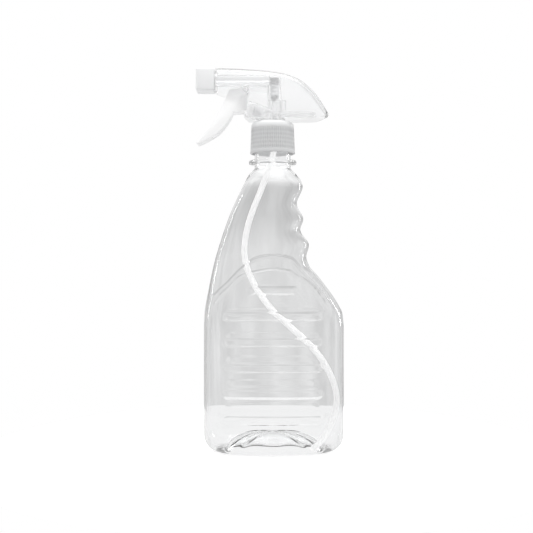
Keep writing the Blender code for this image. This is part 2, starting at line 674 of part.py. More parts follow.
def make_valves(head):
    bm = bmesh.new()
    bmesh.ops.create_uvsphere(bm, u_segments=16, v_segments=12, radius=BALL_ROOM_R - BALL_PLAY)
    mesh = bpy.data.meshes.new("inlet_ball")
    bm.to_mesh(mesh)
    bm.free()
    ball = new_object("inlet_ball", mesh, head, (CHIMNEY_X, 0, SOCKET_TOP + SEAT_LIP))
    smooth_shading(ball)
    paint(ball, (0.55, 0.56, 0.57), 0.15, 1.0)
    stem = RISER_R - GAP
    top = SEAT_Z + VALVE_HEAD_UP
    head_r = VALVE_ROOM_R - VALVE_PLAY
    valve = turned("outlet_valve", [(0, top), (head_r, top), (head_r, top - VALVE_HEAD_T),
                                    (stem, SEAT_Z + GAP), (stem, SEAT_Z - VALVE_TIP),
                                    (0, SEAT_Z - VALVE_TIP)], head, (CHIMNEY_X, 0, 0), SMALL)
    paint(valve, (0.4, 0.4, 0.41), 0.4)
    plug_foot, shoulder = (PASSAGE_Z + offset for offset in PLUG_SHOULDER)
    plug_r = VALVE_ROOM_R - RUNNING
    plug_top = CHIMNEY_TOP - GAP
    plug = turned("chimney_plug", [(0, plug_top), (plug_r, plug_top), (plug_r, shoulder),
                                   (VALVE_ROOM_R - PLUG_STEP, shoulder),
                                   (VALVE_ROOM_R - PLUG_STEP, plug_foot), (0, plug_foot)],
                  head, (CHIMNEY_X, 0, 0))
    paint(plug, (0.16, 0.16, 0.17), 0.4)
    low = top + GAP + VALVE_WIRE
    rise = plug_foot - GAP - VALVE_WIRE - low
    spring = wire("outlet_spring", helix(VALVE_ROOM_R - VALVE_SPRING_IN, rise / VALVE_TURNS,
                                         VALVE_TURNS, low), VALVE_WIRE, head)
    spring.location = (CHIMNEY_X, 0, 0)
    smooth_shading(spring, 60)
    paint(spring, (0.7, 0.71, 0.72), 0.25, 1.0)


def make_dip_tube(neck):
    straight = [(CHIMNEY_X, 0, HEAD_Z - down) for down in
                (TUBE_TOP, HOLDER_FOOT / 2, HOLDER_FOOT, HOLDER_FOOT + 2 * TUBE_R)]
    free = [(x * BODY_RIGHT, y * BODY_DEPTH, z * NECK_Z) for x, y, z in TUBE_ROUTE]
    tube = wire("dip_tube", through(straight + free, 2.6 * TUBE_R), TUBE_R, neck, 2, caps=False)
    shell = tube.modifiers.new("Solidify", "SOLIDIFY")
    shell.thickness = TUBE_WALL
    shell.offset = -1
    smooth_shading(tube, 60)
    paint(tube, (0.95, 0.95, 0.94), 0.35)


# ================================================================ pump
def make_pump(pump):
    head_at = MOUTH + HEAD_IN
    rear = head_at + HEAD_LENGTH
    groove = CYLINDER_BORE_R - SEAL_DEPTH
    bore_fit = CYLINDER_BORE_R - RUNNING
    head_r = bore_fit - HEAD_PLAY
    seal_z = [head_at + place for place in SEAL_PLACE]
    # The pump axis points into the cylinder, so the nose is at the low end.
    piston = turned("piston", [(CUP_R, rear), (head_r, rear), (head_r, seal_z[1]),
                               (groove, seal_z[1]), (groove, seal_z[0]), (head_r, seal_z[0]),
                               (head_r, head_at), (ROD_R, head_at), (ROD_R, NOSE_ROUND),
                               (ROD_R - NOSE_ROUND, 0), (0, 0)], pump)
    extend_to_axis(piston, rear - CUP_DEPTH)
    paint(piston, (0.93, 0.93, 0.93), 0.35)
    seal = turned("piston_seal", [(bore_fit, seal_z[1] - GAP / 2), (bore_fit, seal_z[0] + GAP / 2),
                                  (groove + RUNNING, seal_z[0] + GAP / 2),
                                  (groove + RUNNING, seal_z[1] - GAP / 2)], pump, ring=True)
    paint(seal, (0.8, 0.8, 0.8), 0.55)
    low = rear - CUP_DEPTH + GAP + SPRING_WIRE
    high = MOUTH + BORE_DEPTH - GAP - SPRING_WIRE
    spring = wire("return_spring", helix(SPRING_R, (high - low) / SPRING_TURNS, SPRING_TURNS,
                                         low, per_turn=14), SPRING_WIRE, pump)
    smooth_shading(spring, 60)
    paint(spring, (0.72, 0.72, 0.73), 0.25, 1.0)


def extend_to_axis(item, floor):
    """Close a turned profile's hollow end with a floor on the axis."""
    mesh = item.data
    points = [tuple(vert.co) for vert in mesh.vertices]
    radius = points[0][0]
    points = [(0, 0, floor), (radius, 0, floor), *points]
    mesh.clear_geometry()
    mesh.from_pydata(points, [(i, i + 1) for i in range(len(points) - 1)], [])


# ================================================================ trigger
def trigger_outline():
    """Side outline about the pivot: front edge down, rear edge up and the ear as an arc."""
    ear = []
    for degrees in range(-60, 151, 30):
        angle = math.radians(degrees)
        ear.append((EAR_R * math.cos(angle), EAR_R * math.sin(angle)))
    edges = [(x - PIVOT.x, z - PIVOT.z) for x, z in FRONT_EDGE + REAR_EDGE]
    return edges + ear


def make_trigger(pivot):
    trigger = plate("trigger", trigger_outline(), TRIGGER_OUT, pivot)
    # The hollow lies behind the front wall and is open towards the pump.
    front = [(x - PIVOT.x + TRIGGER_WEB, z - PIVOT.z - TRIGGER_WEB / 2) for x, z in FRONT_EDGE[:4]]
    foot_x, foot_z = REAR_EDGE[1][0] - PIVOT.x, REAR_EDGE[1][1] - PIVOT.z
    open_x, open_z = 3 * EAR_R, 2 * EAR_R      # clear of the ear on both sides
    hollow = [(front[0][0], open_z), *front, (foot_x + OVERCUT, foot_z + 2 * TRIGGER_WEB),
              (open_x, foot_z), (open_x, open_z)]
    cut(trigger, plate("trigger_hollow", hollow, TRIGGER_IN, pivot))
    pusher_at = PUSHER_AT - PIVOT
    shelf_front = smooth([(z, x) for x, z in FRONT_EDGE[::-1]], PUSHER_AT.z) - PIVOT.x
    shelf = box("shelf", (shelf_front + TRIGGER_WEB / 2, -TRIGGER_IN - GAP,
                          pusher_at.z - SHELF_HALF),
                (pusher_at.x, TRIGGER_IN + GAP, pusher_at.z + SHELF_HALF), pivot)
    pusher = cross_bar("pusher", PUSHER_R, TRIGGER_IN + GAP, pivot, pusher_at)
    join(trigger, shelf, pusher)
    cut(trigger, cross_bar("ear_hole", PIN_R + GAP, TRIGGER_OUT + OVERCUT, pivot, (0, 0, 0)))
    bevel(trigger, TRIGGER_ROUND, 1)
    smooth_shading(trigger)
    paint(trigger, (0.93, 0.93, 0.93), 0.3)
    pin = cross_bar("trigger_pin", PIN_R, TRIGGER_OUT + GAP, pivot, (0, 0, 0))
    smooth_shading(pin)
    paint(pin, (0.85, 0.85, 0.86), 0.3)


# ================================================================ nozzle
def make_nozzle(barrel):
    half = NOZZLE_SIDE / 2
    nozzle = box("nozzle", (-half, -half, NOZZLE_BACK), (half, half, NOZZLE_FACE), barrel)
    bevel(nozzle, NOZZLE_ROUND, 3)
    wall_at = NOZZLE_FACE - NOZZLE_WALL
    cut(nozzle, rod("nozzle_bore", NOZZLE_BORE_R, NOZZLE_BACK - OVERCUT, wall_at, barrel),
        rod("orifice_hole", ORIFICE_HOLE_R, wall_at - OVERCUT, NOZZLE_FACE + OVERCUT, barrel))
    smooth_shading(nozzle)
    paint(nozzle, (0.85, 0.86, 0.87), 0.35)
    disc = ORIFICE_HOLE_R - RUNNING
    face = NOZZLE_FACE - CUP_SUNK
    orifice = turned("orifice_cup", [(disc / 2, face), (disc, face), (disc, wall_at + GAP),
                                     (SPRAY_R, wall_at + GAP), (SPRAY_R, face - CUP_DISH)],
                     barrel, steps=24, ring=True)
    paint(orifice, (0.95, 0.95, 0.95), 0.35)
    seal_z = [NOZZLE_BACK + place for place in NOZZLE_SEAL]
    seal = turned("nozzle_seal", [(NOZZLE_BORE_R - RUNNING, seal_z[1]),
                                  (NOZZLE_BORE_R - RUNNING, seal_z[0]),
                                  (BARREL_R + RUNNING, seal_z[0]),
                                  (BARREL_R + RUNNING, seal_z[1])], barrel, ring=True)
    paint(seal, (0.8, 0.8, 0.8), 0.55)
    head_foot = BARREL_END + GAP
    stem_foot = BARREL_BORE_END + SPINNER_REST
    spinner = turned("spinner", [(0, wall_at - GAP), (BARREL_R - SPINNER_STEP, wall_at - GAP),
                                 (BARREL_R - SPINNER_STEP, head_foot),
                                 (BARREL_BORE_R - GAP, head_foot),
                                 (BARREL_BORE_R - GAP, stem_foot), (0, stem_foot)],
                     barrel, steps=24)
    paint(spinner, (0.93, 0.93, 0.93), 0.4)


# ================================================================ shroud
def shroud_ring(x, inset, foot):
    """Closed section of the shroud: a square-shouldered arch over a flat foot."""
    step = 0.0005
    slope = (smooth(SHROUD_TOP, x + step) - smooth(SHROUD_TOP, x - step)) / (2 * step)
    top = smooth(SHROUD_TOP, x) - inset * math.sqrt(1 + slope * slope)
    half = TRIGGER_OUT + smooth(SHROUD_SIDE, x) - inset
    power = 2 / SHROUD_SQUARE
    ring = []
    for i in range(17):
        angle = math.pi * i / 16
        c, s = math.cos(angle), math.sin(angle)
        ring.append((x, math.copysign(abs(c) ** power, c) * half,
                     foot + (top - foot) * abs(s) ** power))
    return ring


def make_shroud(head):
    def loft(name, start, end, inset, foot):
        stations = [start + (end - start) * math.sin(math.pi / 2 * i / 16) for i in range(17)]
        rings = [shroud_ring(x, inset, foot if inset else smooth(SHROUD_FOOT, x))
                 for x in stations]
        return new_object(name, mesh_from_rings(name, rings, (None, None)), head)

    shroud = loft("shroud", SHROUD_FRONT, SHROUD_TAIL, 0.0, 0.0)
    hollow = loft("shroud_hollow", SHROUD_FRONT + SHROUD_WALL, SHROUD_TAIL - SHROUD_TIP,
                  SHROUD_WALL, -SHROUD_TIP)
    opening = plate("trigger_opening", OPENING, 2 * TRIGGER_OUT, head)
    hole = rod("barrel_hole", BARREL_R + GAP, -SHROUD_FRONT - 2 * SHROUD_WALL,
               -SHROUD_FRONT + SHROUD_WALL, head)
    hole.location = (0, 0, BARREL_Z)
    hole.rotation_euler = (0, -math.pi / 2, 0)
    cut(shroud, hollow, opening, hole)
    smooth_shading(shroud)
    paint(shroud, (0.95, 0.95, 0.95), 0.2, alpha=0.4)


# ================================================================ build
clear_scene()
parts = new_collection(NAME)
tools = new_collection(NAME + "_tools")
neck_axis = new_empty("neck_axis", (NECK_X, 0, 0))
head_origin = new_empty("head_origin", (0, 0, HEAD_Z), parent=neck_axis)
barrel_axis = new_empty("barrel_axis", (0, 0, BARREL_Z), (0, -math.pi / 2, 0), head_origin)
pump_axis = new_empty("pump_axis", NOSE_AT, (0, math.pi / 2 + TILT, 0), head_origin)
pivot_axis = new_empty("pivot_axis", PIVOT, parent=head_origin)

make_bottle(neck_axis)
make_closure(neck_axis)
make_body(head_origin, barrel_axis, pump_axis)
make_holder(head_origin)
make_valves(head_origin)
make_dip_tube(neck_axis)
make_pump(pump_axis)
make_trigger(pivot_axis)
make_nozzle(barrel_axis)
make_shroud(head_origin)
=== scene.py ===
import json
import math

import bmesh
import bpy
import numpy as np
from mathutils import Matrix, Vector


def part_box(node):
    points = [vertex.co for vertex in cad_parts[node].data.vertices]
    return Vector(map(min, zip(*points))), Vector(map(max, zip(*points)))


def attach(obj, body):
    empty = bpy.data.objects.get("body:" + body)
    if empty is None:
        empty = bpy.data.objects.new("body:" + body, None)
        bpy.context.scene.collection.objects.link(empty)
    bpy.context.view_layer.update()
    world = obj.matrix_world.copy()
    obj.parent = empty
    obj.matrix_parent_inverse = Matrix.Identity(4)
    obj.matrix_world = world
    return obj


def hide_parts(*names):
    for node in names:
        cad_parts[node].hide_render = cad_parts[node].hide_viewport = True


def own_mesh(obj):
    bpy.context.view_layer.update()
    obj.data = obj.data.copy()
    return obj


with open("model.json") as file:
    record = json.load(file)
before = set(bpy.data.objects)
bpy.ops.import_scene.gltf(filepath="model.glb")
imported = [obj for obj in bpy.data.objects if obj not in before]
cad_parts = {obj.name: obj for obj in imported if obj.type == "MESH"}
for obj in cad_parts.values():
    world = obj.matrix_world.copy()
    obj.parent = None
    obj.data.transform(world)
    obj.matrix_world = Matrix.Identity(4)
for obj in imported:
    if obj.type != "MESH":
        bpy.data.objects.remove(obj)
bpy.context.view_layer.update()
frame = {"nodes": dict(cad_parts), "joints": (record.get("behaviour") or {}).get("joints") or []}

JOINTS = {joint["name"]: joint for joint in frame["joints"]}

# ---------------------------------------------------------------- places read from the frame
BOTTLE_LOW, BOTTLE_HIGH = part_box("bottle")
COLLAR_LOW, COLLAR_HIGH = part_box("closure_collar")
NECK_X = JOINTS["collar_turn"]["pos_m"][0]
HEAD_Z = COLLAR_HIGH[2]                     # top of the closure
LIP_Z = BOTTLE_HIGH[2]
BARREL_Z = JOINTS["nozzle_turn"]["pos_m"][2]
PIVOT = Vector(JOINTS["trigger_pull"]["pos_m"])
PUMP_AXIS = Vector(JOINTS["piston_slide"]["axis"]).normalized()

# ---------------------------------------------------------------- bottle
BODY_LEFT = NECK_X - BOTTLE_LOW[0]
BODY_RIGHT = BOTTLE_HIGH[0] - NECK_X
BODY_DEPTH = BOTTLE_HIGH[1]
BODY_SQUARE = 3.0
HEEL_R = 0.0120
HEEL_RINGS = 14
SHOULDER_Z = 0.0840
NECK_Z = 0.1970
WALL = 0.0008
PUSH_UP = 0.0125
STANDING = 0.0016           # width of the ring that the bottle stands on
RIB_FIRST_Z = 0.0250
RIB_LAST_Z = 0.0945
RIB_COUNT = 5
RIB_HEIGHT = 0.0062
RIB_FLOOR = 0.0034
RIB_DEPTH = 0.0013
RIB_HALF = 0.0333
SHORT_RIB_HALF = 0.0166
NECK_R = 0.0126
BORE_R = 0.0108
RING_R = 0.0166
RING_H = 0.0026
RING_UP = 0.0022
PITCH = 0.004233
THREAD_R = 0.00095
THREAD_PROUD = 0.0011
THREAD_LEAD = 0.06          # share of a turn over which the ridge rises at its ends
BOTTLE_TURNS = 1.6
COLLAR_TURNS = 1.25
THREAD_LOW = LIP_Z - 0.0030 - BOTTLE_TURNS * PITCH
RING_ROUND = 0.0008
LIP_ROUND = 0.0005
BORE_ROUND = 0.0004
ROOT_ROUND = 0.0003         # where the support ring leaves the neck
BORE_BLEND = 0.012          # height over which the wall thickens into the neck
LEFT_EDGE = [(0, 1), (0.105, 0.986), (0.254, 0.906), (0.403, 0.807), (0.52, 0.699),
             (0.644, 0.568), (0.756, 0.429), (0.886, 0.23), (0.96, 0.105), (1, 0)]
RIGHT_EDGE = [(0, 1), (0.10, 0.975), (0.145, 0.915), (0.33, 0.515), (0.39, 0.355),
              (0.449, 0.296), (0.52, 0.345), (0.615, 0.182), (0.681, 0.238),
              (0.775, 0.117), (0.886, 0.228), (0.96, 0.103), (1, 0)]
DEPTH_EDGE = [(0, 1), (0.15, 0.94), (0.35, 0.73), (0.55, 0.51), (0.75, 0.35),
              (0.9, 0.22), (0.96, 0.105), (1, 0)]
BACK_SHARE = 0.55           # the back wall's recesses have this share of the front wall's depth
INNER_SHARE = 0.66          # a groove's depth on the inside of a wall, as a share of the outside's
ARCH_INNER_SHARE = 0.40     # and the arch's
FACE_FROM = 0.45            # the recesses fade in where the wall turns to the front or the back
FACE_BLEND = 0.15
# The moulded band that arches over the panel: its middle line, and its half-heights.
ARCH = [(-0.0440, 0.0900), (-0.0400, 0.1050), (-0.0295, 0.1160), (-0.0197, 0.1250),
        (-0.0099, 0.1293), (-0.0007, 0.1308), (0.0110, 0.1293), (0.0176, 0.1247),
        (0.0280, 0.1156), (0.0360, 0.1050), (0.0440, 0.0900)]
ARCH_HALF = 0.0022
ARCH_CROWN_HALF = 0.0052
ARCH_CROWN_FROM = 0.0080    # the crown keeps its full height this far to either side
ARCH_CROWN_FADE = 0.0180
ARCH_DEPTH = 0.0011
ARCH_EDGE = 0.0007
ARCH_DIP = 0.55             # the middle of the band falls back by this share of its depth
ARCH_FADE_Z = 0.0930
ARCH_FADE_H = 0.0100
STAR_RIBS = 10              # ribs of the pushed-up dome
STAR_DEPTH = 0.0010
DOME_RINGS = 40
BORE_RINGS = 12
CLEAR_NECK_DOWN = 0.0020    # the neck's own plastic starts this far under it
BOTTLE_POINTS = 200         # points round each ring
ROUND_POINTS = 6            # points on the small rounds of the support ring and the lip
LEVEL_STEP = 0.00065
THREAD_STEP = 0.00018

# ---------------------------------------------------------------- closure
COLLAR_R = (COLLAR_HIGH[0] - COLLAR_LOW[0]) / 2
COLLAR_TOP_R = 0.0149
COLLAR_ROUND = 0.0025
COLLAR_BORE_R = 0.0143
COLLAR_HOLE_R = 0.0090
COLLAR_PLATE = 0.0023
COLLAR_LIP = 0.00015        # step round the skirt's foot
COLLAR_LIP_HIGH = 0.0016
COLLAR_LIP_LOW = 0.0012
COLLAR_FOOT_ROUND = 0.0003
# Painted shade on the closure: darker level bands that stand for the threads' shadow through its
# wall.
BAND_PITCH = 0.0028
BAND_TOP_DOWN = 0.0040      # the bands fade out this far below the closure's top
BAND_FADE = 0.0015
BAND_SHARES = (0.38, 0.50)
THREAD_SHADE_COLOUR = (0.30, 0.305, 0.31, 1)
KNURLS = 72
KNURL_DEPTH = 0.0006
KNURL_FADE = 0.0006
KNURL_TOP_DOWN = 0.0043
KNURL_FOOT_UP = 0.0020
KNURL_SHAPE = 0.8           # under 1 the knurls are fuller and the grooves between them narrower

# ---------------------------------------------------------------- shroud and trigger, from HEAD_Z
SHROUD_WALL = 0.0012
SHROUD_TAIL_WALL = 0.0022
SHROUD_SQUARE = 4.5
SHROUD_STATIONS = 60
SHROUD_HOLLOW_FOOT = -0.0030            # the hollow runs out through the open foot
OPENING_ROUND = 0.3                     # share of each side that a corner's curve takes
OPENING_HALF = 0.0200
BARREL_HOLE = (0.0360, 0.0440)          # from behind the front wall to before it
SHROUD_TOP = [(-0.0403, 0.0374), (-0.0144, 0.0362), (0.0045, 0.0341), (0.0171, 0.0300),
              (0.0276, 0.0218), (0.0339, 0.0136), (0.0392, 0.0052)]
SHROUD_FOOT = [(-0.0403, 0.0018), (0.0280, 0.0018), (0.0332, 0.0028), (0.0392, 0.0048)]
SHROUD_SIDE = [(-0.0403, 0.0083), (-0.0300, 0.0095), (-0.0150, 0.0108), (0.0050, 0.0118),
               (0.0180, 0.0120), (0.0270, 0.0112), (0.0330, 0.0094), (0.0392, 0.0042)]
OPENING = [(-0.0500, 0.0214), (-0.0396, 0.0212), (-0.0322, 0.0184), (-0.0245, 0.0172),
           (-0.0214, 0.0140), (-0.0203, 0.0052), (-0.0158, 0.0010), (-0.0150, -0.0040),
           (-0.0500, -0.0040)]
BARREL_R = 0.0042
TRIGGER_OUT = 0.0076
TRIGGER_IN = 0.0063
TRIGGER_WEB = 0.0018
EAR_R = 0.0027
PIN_R = 0.0014
PUSHER_R = 0.0015
FRONT_EDGE = [(-0.0298, 0.0220), (-0.0340, 0.0136), (-0.0389, 0.0044), (-0.0445, -0.0039),
              (-0.0529, -0.0151)]
REAR_EDGE = [(-0.0521, -0.0156), (-0.0473, -0.0137), (-0.0389, -0.0088), (-0.0333, -0.0032),
             (-0.0290, 0.0031), (-0.0277, 0.0064), (-0.0179, 0.0074)]
TRIGGER_ROUND = 0.0005
HOLLOW_RISE = 0.0040                    # the lever's hollow runs out this far over its ear
HOLLOW_CORNER = (0.0010, 0.0035)        # and turns this far behind and above the grip's end
PIN_REACH = 0.0100
EAR_ARC = np.radians(np.arange(-60, 151, 10))
NOSE = (-0.0238, 0.0117)                # the piston's front end, which the trigger pushes
SHELF_HALF = 0.0010                     # half-thickness of the shelf that carries the pusher
GAP = 0.0003

# ---------------------------------------------------------------- nozzle, tube and springs
NOZZLE_SIDE = 0.0158
NOZZLE_FACE = 0.0533
NOZZLE_BACK = 0.0401
NOZZLE_BORE_R = 0.0054
NOZZLE_WALL = 0.0023
NOZZLE_ROUND = 0.0016
RIM_GROOVE = (0.0026, 0.0023)           # its two sides, behind the face
RIM_GROOVE_DEPTH = 0.0003
CORE_RUN = (0.0300, 0.0600)             # past both ends of the knob
ORIFICE_HOLE_R = 0.0031
CHIMNEY_X = 0.0012
TUBE_R = 0.0020
TUBE_BORE_R = 0.0014
TUBE_TOP = 0.0029
HOLDER_FOOT = 0.0150
TUBE_ROUTE = [(-0.036, 0, 1.013), (-0.156, 0, 0.927), (-0.281, 0, 0.849), (-0.368, 0, 0.775),
              (-0.4, 0, 0.699), (-0.344, -0.02, 0.632), (-0.202, -0.05, 0.562),
              (-0.01, -0.1, 0.498), (0.235, -0.143, 0.44), (0.512, -0.2, 0.377),
              (0.743, -0.247, 0.302), (0.885, -0.3, 0.208), (0.846, -0.407, 0.128),
              (0.69, -0.59, 0.058), (0.53, -0.665, 0.0205)]

OUTLET_WIRE_R = 0.0004
OUTLET_TURNS = 2.6
RETURN_R = 0.0028
RETURN_WIRE_R = 0.0003
RETURN_TURNS = 5
RETURN_LENGTH = 0.0090

# ---------------------------------------------------------------- camera and studio
CAMERA_AT = (-0.00235, -0.620, 0.128)
PICTURE_WIDTH = 0.373           # width of the view at the bottle's middle
SENSOR_WIDTH = 36.0
FLOOR_R = 0.205
FLOOR_DROP = 0.0002             # keeps the floor just clear of the bottle's foot
FLOOR_GLOW = 0.62
FLOOR_BEHIND = 0.93             # the floor's level where it is seen through the bottle
ROOM_SIDES = 4.0
ROOM_LEVELS = (0.57, 0.74)      # the walls' darkest and palest levels
UPPER_RISE = (0.085, 0.20)      # heights in the room where it grows paler, and by how much
UPPER_GAIN = 0.38
SHADE_RISE = (0.015, 0.06)      # the walls grow darker over these heights, above eye level
SHADE_LOSS = 0.16
CURTAIN_STRETCH = (20.0, 20.0, 6.0)
CURTAIN_SCALE = 2.0
CURTAIN_DETAIL = 4.0
CURTAIN_SPREAD = (0.3, 0.7)
CURTAIN_UNEVEN = 0.09
AIM_AT = Vector((0, 0, 0.13))
# Name, place, width, length and power of each light.
LIGHTS = [("left_strip", (-0.60, 0.30, 0.30), 0.025, 0.40, 0.4),
          ("right_strip", (0.60, 0.35, 0.25), 0.025, 0.35, 0.4),
          ("top_soft", (0.05, -0.15, 0.85), 0.60, 0.60, 3.0)]
LIGHT_BOUNCES = 24

# ---------------------------------------------------------------- working values
SLOPE_STEP = 0.0005             # half the stretch over which a curve's slope is measured
CUT_OVER = 0.001                # how far a cutting tool stands past what it cuts
EDGE_STEP = 0.001               # spacing of the points on the trigger's curved edges


# ================================================================ shape helpers
def smooth(points, places):
    """Monotone cubic curve through (place, value) points, at an array of places."""
    xs = np.array([p[0] for p in points], float)
    ys = np.array([p[1] for p in points], float)
    slopes = np.diff(ys) / np.diff(xs)
    before, after = slopes[:-1], slopes[1:]
    product = before * after
    middle = np.where(product > 0, 2 * product / np.where(product > 0, before + after, 1), 0)
    # A curve that ends at nought arrives level; any other keeps its last slope.
    last = slopes[-1] if abs(ys[-1]) > 0 else 0.0
    tangents = np.concatenate(([0.0], middle, [last]))
    at = np.clip(np.asarray(places, float), xs[0], xs[-1])
    k = np.clip(np.searchsorted(xs, at, side="right") - 1, 0, len(xs) - 2)
    h = xs[k + 1] - xs[k]
    t = (at - xs[k]) / h
    return (ys[k] * (1 + 2 * t) * (1 - t) ** 2 + ys[k + 1] * t * t * (3 - 2 * t)
            + h * t * (1 - t) * (tangents[k] * (1 - t) - tangents[k + 1] * t))


def slope_of(points, places):
    """Slope of that curve at an array of places."""
    ahead, behind = smooth(points, places + SLOPE_STEP), smooth(points, places - SLOPE_STEP)
    return (ahead - behind) / (2 * SLOPE_STEP)


def ease(value):
    """A soft step from 0 to 1 as the value goes from 0 to 1."""
    value = np.clip(value, 0.0, 1.0)
    return value * value * (3 - 2 * value)


def quarter_turn(count):
    return np.linspace(0, math.pi / 2, count)


def signed_power(value, power):
    return np.sign(value) * np.abs(value) ** power


def add(name, data):
    """A new object in the scene: a piece from a mesh, or a camera or a light."""
    piece = bpy.data.objects.new(name, data)
    bpy.context.scene.collection.objects.link(piece)
    return piece


def grid_mesh(name, rings, low_pole=None, high_pole=None, closed=False):
    """Skin an array of rings (ring, point, xyz); a closed grid also joins last to first."""
    rows, count = rings.shape[:2]
    verts = rings.reshape(-1, 3).tolist()
    i = np.arange(count)
    j = (i + 1) % count
    faces = []
    for row in range(rows if closed else rows - 1):
        a, b = row * count, ((row + 1) % rows) * count
        faces += np.stack([a + i, a + j, b + j, b + i], axis=1).tolist()
    for pole, start, flip in ((low_pole, 0, True), (high_pole, (rows - 1) * count, False)):
        if pole is None:
            continue
        tip = len(verts)
        verts.append(tuple(pole))
        for a, b in zip((start + i).tolist(), (start + j).tolist()):
            faces.append((b, a, tip) if flip else (a, b, tip))
    mesh = bpy.data.meshes.new(name)
    mesh.from_pydata(verts, [], faces)
    mesh.shade_smooth()
    return mesh


def mesh_from(name, bm, outward=False):
    """A new mesh from a bmesh, which is freed; outward turns its faces outwards first."""
    if outward:
        bmesh.ops.recalc_face_normals(bm, faces=bm.faces[:])
    mesh = bpy.data.meshes.new(name)
    bm.to_mesh(mesh)
    bm.free()
    return mesh


def sharpen(piece, degrees):
    piece.data.shade_smooth()
    piece.data.set_sharp_from_angle(angle=math.radians(degrees))


def lathe(name, profile, count, bumps):
    """Revolve a closed (radius, height) profile, listed down the outer side, with bumps added."""
    profile = np.array(profile, float)
    angle = np.arange(count) * math.tau / count
    radius = np.repeat(profile[:, :1], count, axis=1)
    height = np.repeat(profile[:, 1:], count, axis=1)
    radius = radius + bumps(radius, height, angle[None, :])
    rings = np.stack([radius * np.cos(angle), radius * np.sin(angle), height], axis=2)
    return grid_mesh(name, rings[::-1], closed=True)


def subdivided(profile, step):
    """Add points to a closed profile so that no stretch is longer than the step."""
    out = []
    for a, b in zip(profile, [*profile[1:], profile[0]]):
        count = max(1, math.ceil(math.dist(a, b) / step))
        out += [(a[0] + (b[0] - a[0]) * k / count, a[1] + (b[1] - a[1]) * k / count)
                for k in range(count)]
    return out


def through(points, step):
    """Points about a step apart on the smooth (Catmull-Rom) line through the given ones."""
    points = [Vector(point) for point in points]
    padded = [2 * points[0] - points[1], *points, 2 * points[-1] - points[-2]]
    line = []
    for a, b, c, d in zip(padded, padded[1:], padded[2:], padded[3:]):
        count = max(1, round((c - b).length / step))
        for i in range(count):
            t = i / count
            line.append(0.5 * (2 * b + (c - a) * t + (2 * a - 5 * b + 4 * c - d) * t * t
                               + (3 * b - a - 3 * c + d) * t ** 3))
    return [*line, points[-1]]


def sweep(path, radius, count):
    """Rings of a round bar along a path, kept from twisting."""
    path = [Vector(point) for point in path]
    side = Vector((0, 1, 0))
    rings = []
    for k, place in enumerate(path):
        ahead = path[min(k + 1, len(path) - 1)] - path[max(k - 1, 0)]
        ahead.normalize()
        side = (side - ahead * side.dot(ahead)).normalized()
        up = ahead.cross(side)
        rings.append([place + radius * (side * math.cos(a) + up * math.sin(a))
                      for a in (math.tau * i / count for i in range(count))])
    return np.array(rings)


def helix(radius, pitch, turns, low, per_turn):
    count = round(turns * per_turn)
    angles = [math.tau * turns * i / count for i in range(count + 1)]
    return [(radius * math.cos(a), radius * math.sin(a), low + pitch * a / math.tau)
            for a in angles]


def bevelled(piece, width, segments=3):
    modifier = piece.modifiers.new("Bevel", "BEVEL")
    modifier.width = width
    modifier.segments = segments
    modifier.limit_method = "ANGLE"
    modifier.angle_limit = math.radians(35)
    modifier.harden_normals = False
    apply_modifiers(piece)


def boolean(piece, tool, operation):
    modifier = piece.modifiers.new(operation, "BOOLEAN")
    modifier.operation = operation
    modifier.object = tool
    modifier.solver = "EXACT"
    apply_modifiers(piece)
    bpy.data.objects.remove(tool, do_unlink=True)


def apply_modifiers(piece):
    bpy.context.view_layer.update()
    graph = bpy.context.evaluated_depsgraph_get()
    mesh = bpy.data.meshes.new_from_object(piece.evaluated_get(graph))
    piece.modifiers.clear()
    piece.data = mesh


def rectangle(left, right, low, high):
    return [(left, low), (right, low), (right, high), (left, high)]


def plate(name, outline, half):
    """A flat (x, z) outline given its thickness along Y."""
    bm = bmesh.new()
    front = [bm.verts.new((x, -half, z)) for x, z in outline]
    bm.faces.new(front)
    bm.normal_update()
    made = bmesh.ops.extrude_face_region(bm, geom=bm.faces[:])
    for item in made["geom"]:
        if isinstance(item, bmesh.types.BMVert):
            item.co.y = half
    return add(name, mesh_from(name, bm, outward=True))


def bar(name, radius, low, high, turn=None, at=(0, 0, 0)):
    """A round bar between two places on the local Z axis, then turned and moved."""
    bm = bmesh.new()
    bmesh.ops.create_cone(bm, cap_ends=True, segments=48, radius1=radius, radius2=radius,
                          depth=high - low)
    bmesh.ops.translate(bm, verts=bm.verts, vec=(0, 0, (low + high) / 2))
    if turn is not None:
        bmesh.ops.transform(bm, matrix=turn, verts=bm.verts)
    bmesh.ops.translate(bm, verts=bm.verts, vec=at)
    return add(name, mesh_from(name, bm))


RING_ANGLES = np.arange(BOTTLE_POINTS) * math.tau / BOTTLE_POINTS
ALONG_Y = Matrix.Rotation(math.pi / 2, 4, "X")
ALONG_BARREL = Matrix.Rotation(-math.pi / 2, 4, "Y")
NECK_AT = Vector((NECK_X, 0, 0))
HEAD_AT = Vector((NECK_X, 0, HEAD_Z))


# ================================================================ materials
def nodes_of(name):
    material = bpy.data.materials.new(name)
    material.use_nodes = True
    tree = material.node_tree
    return material, tree, tree.nodes["Principled BSDF"]


def maths(tree, operation, *sources):
    """Output of a Math node whose inputs are sockets or plain numbers."""
    node = tree.nodes.new("ShaderNodeMath")
    node.operation = operation
    for socket, source in zip(node.inputs, sources):
        if isinstance(source, float):
            socket.default_value = source
        else:
            tree.links.new(source, socket)
    return node.outputs[0]


def spread(tree, source, span, levels):
    """A value that goes from the first level to the second across the span."""
    node = tree.nodes.new("ShaderNodeMapRange")
    limits = zip(("From Min", "From Max", "To Min", "To Max"), (*span, *levels))
    for socket, limit in limits:
        node.inputs[socket].default_value = limit
    tree.links.new(source, node.inputs["Value"])
    return node.outputs["Result"]


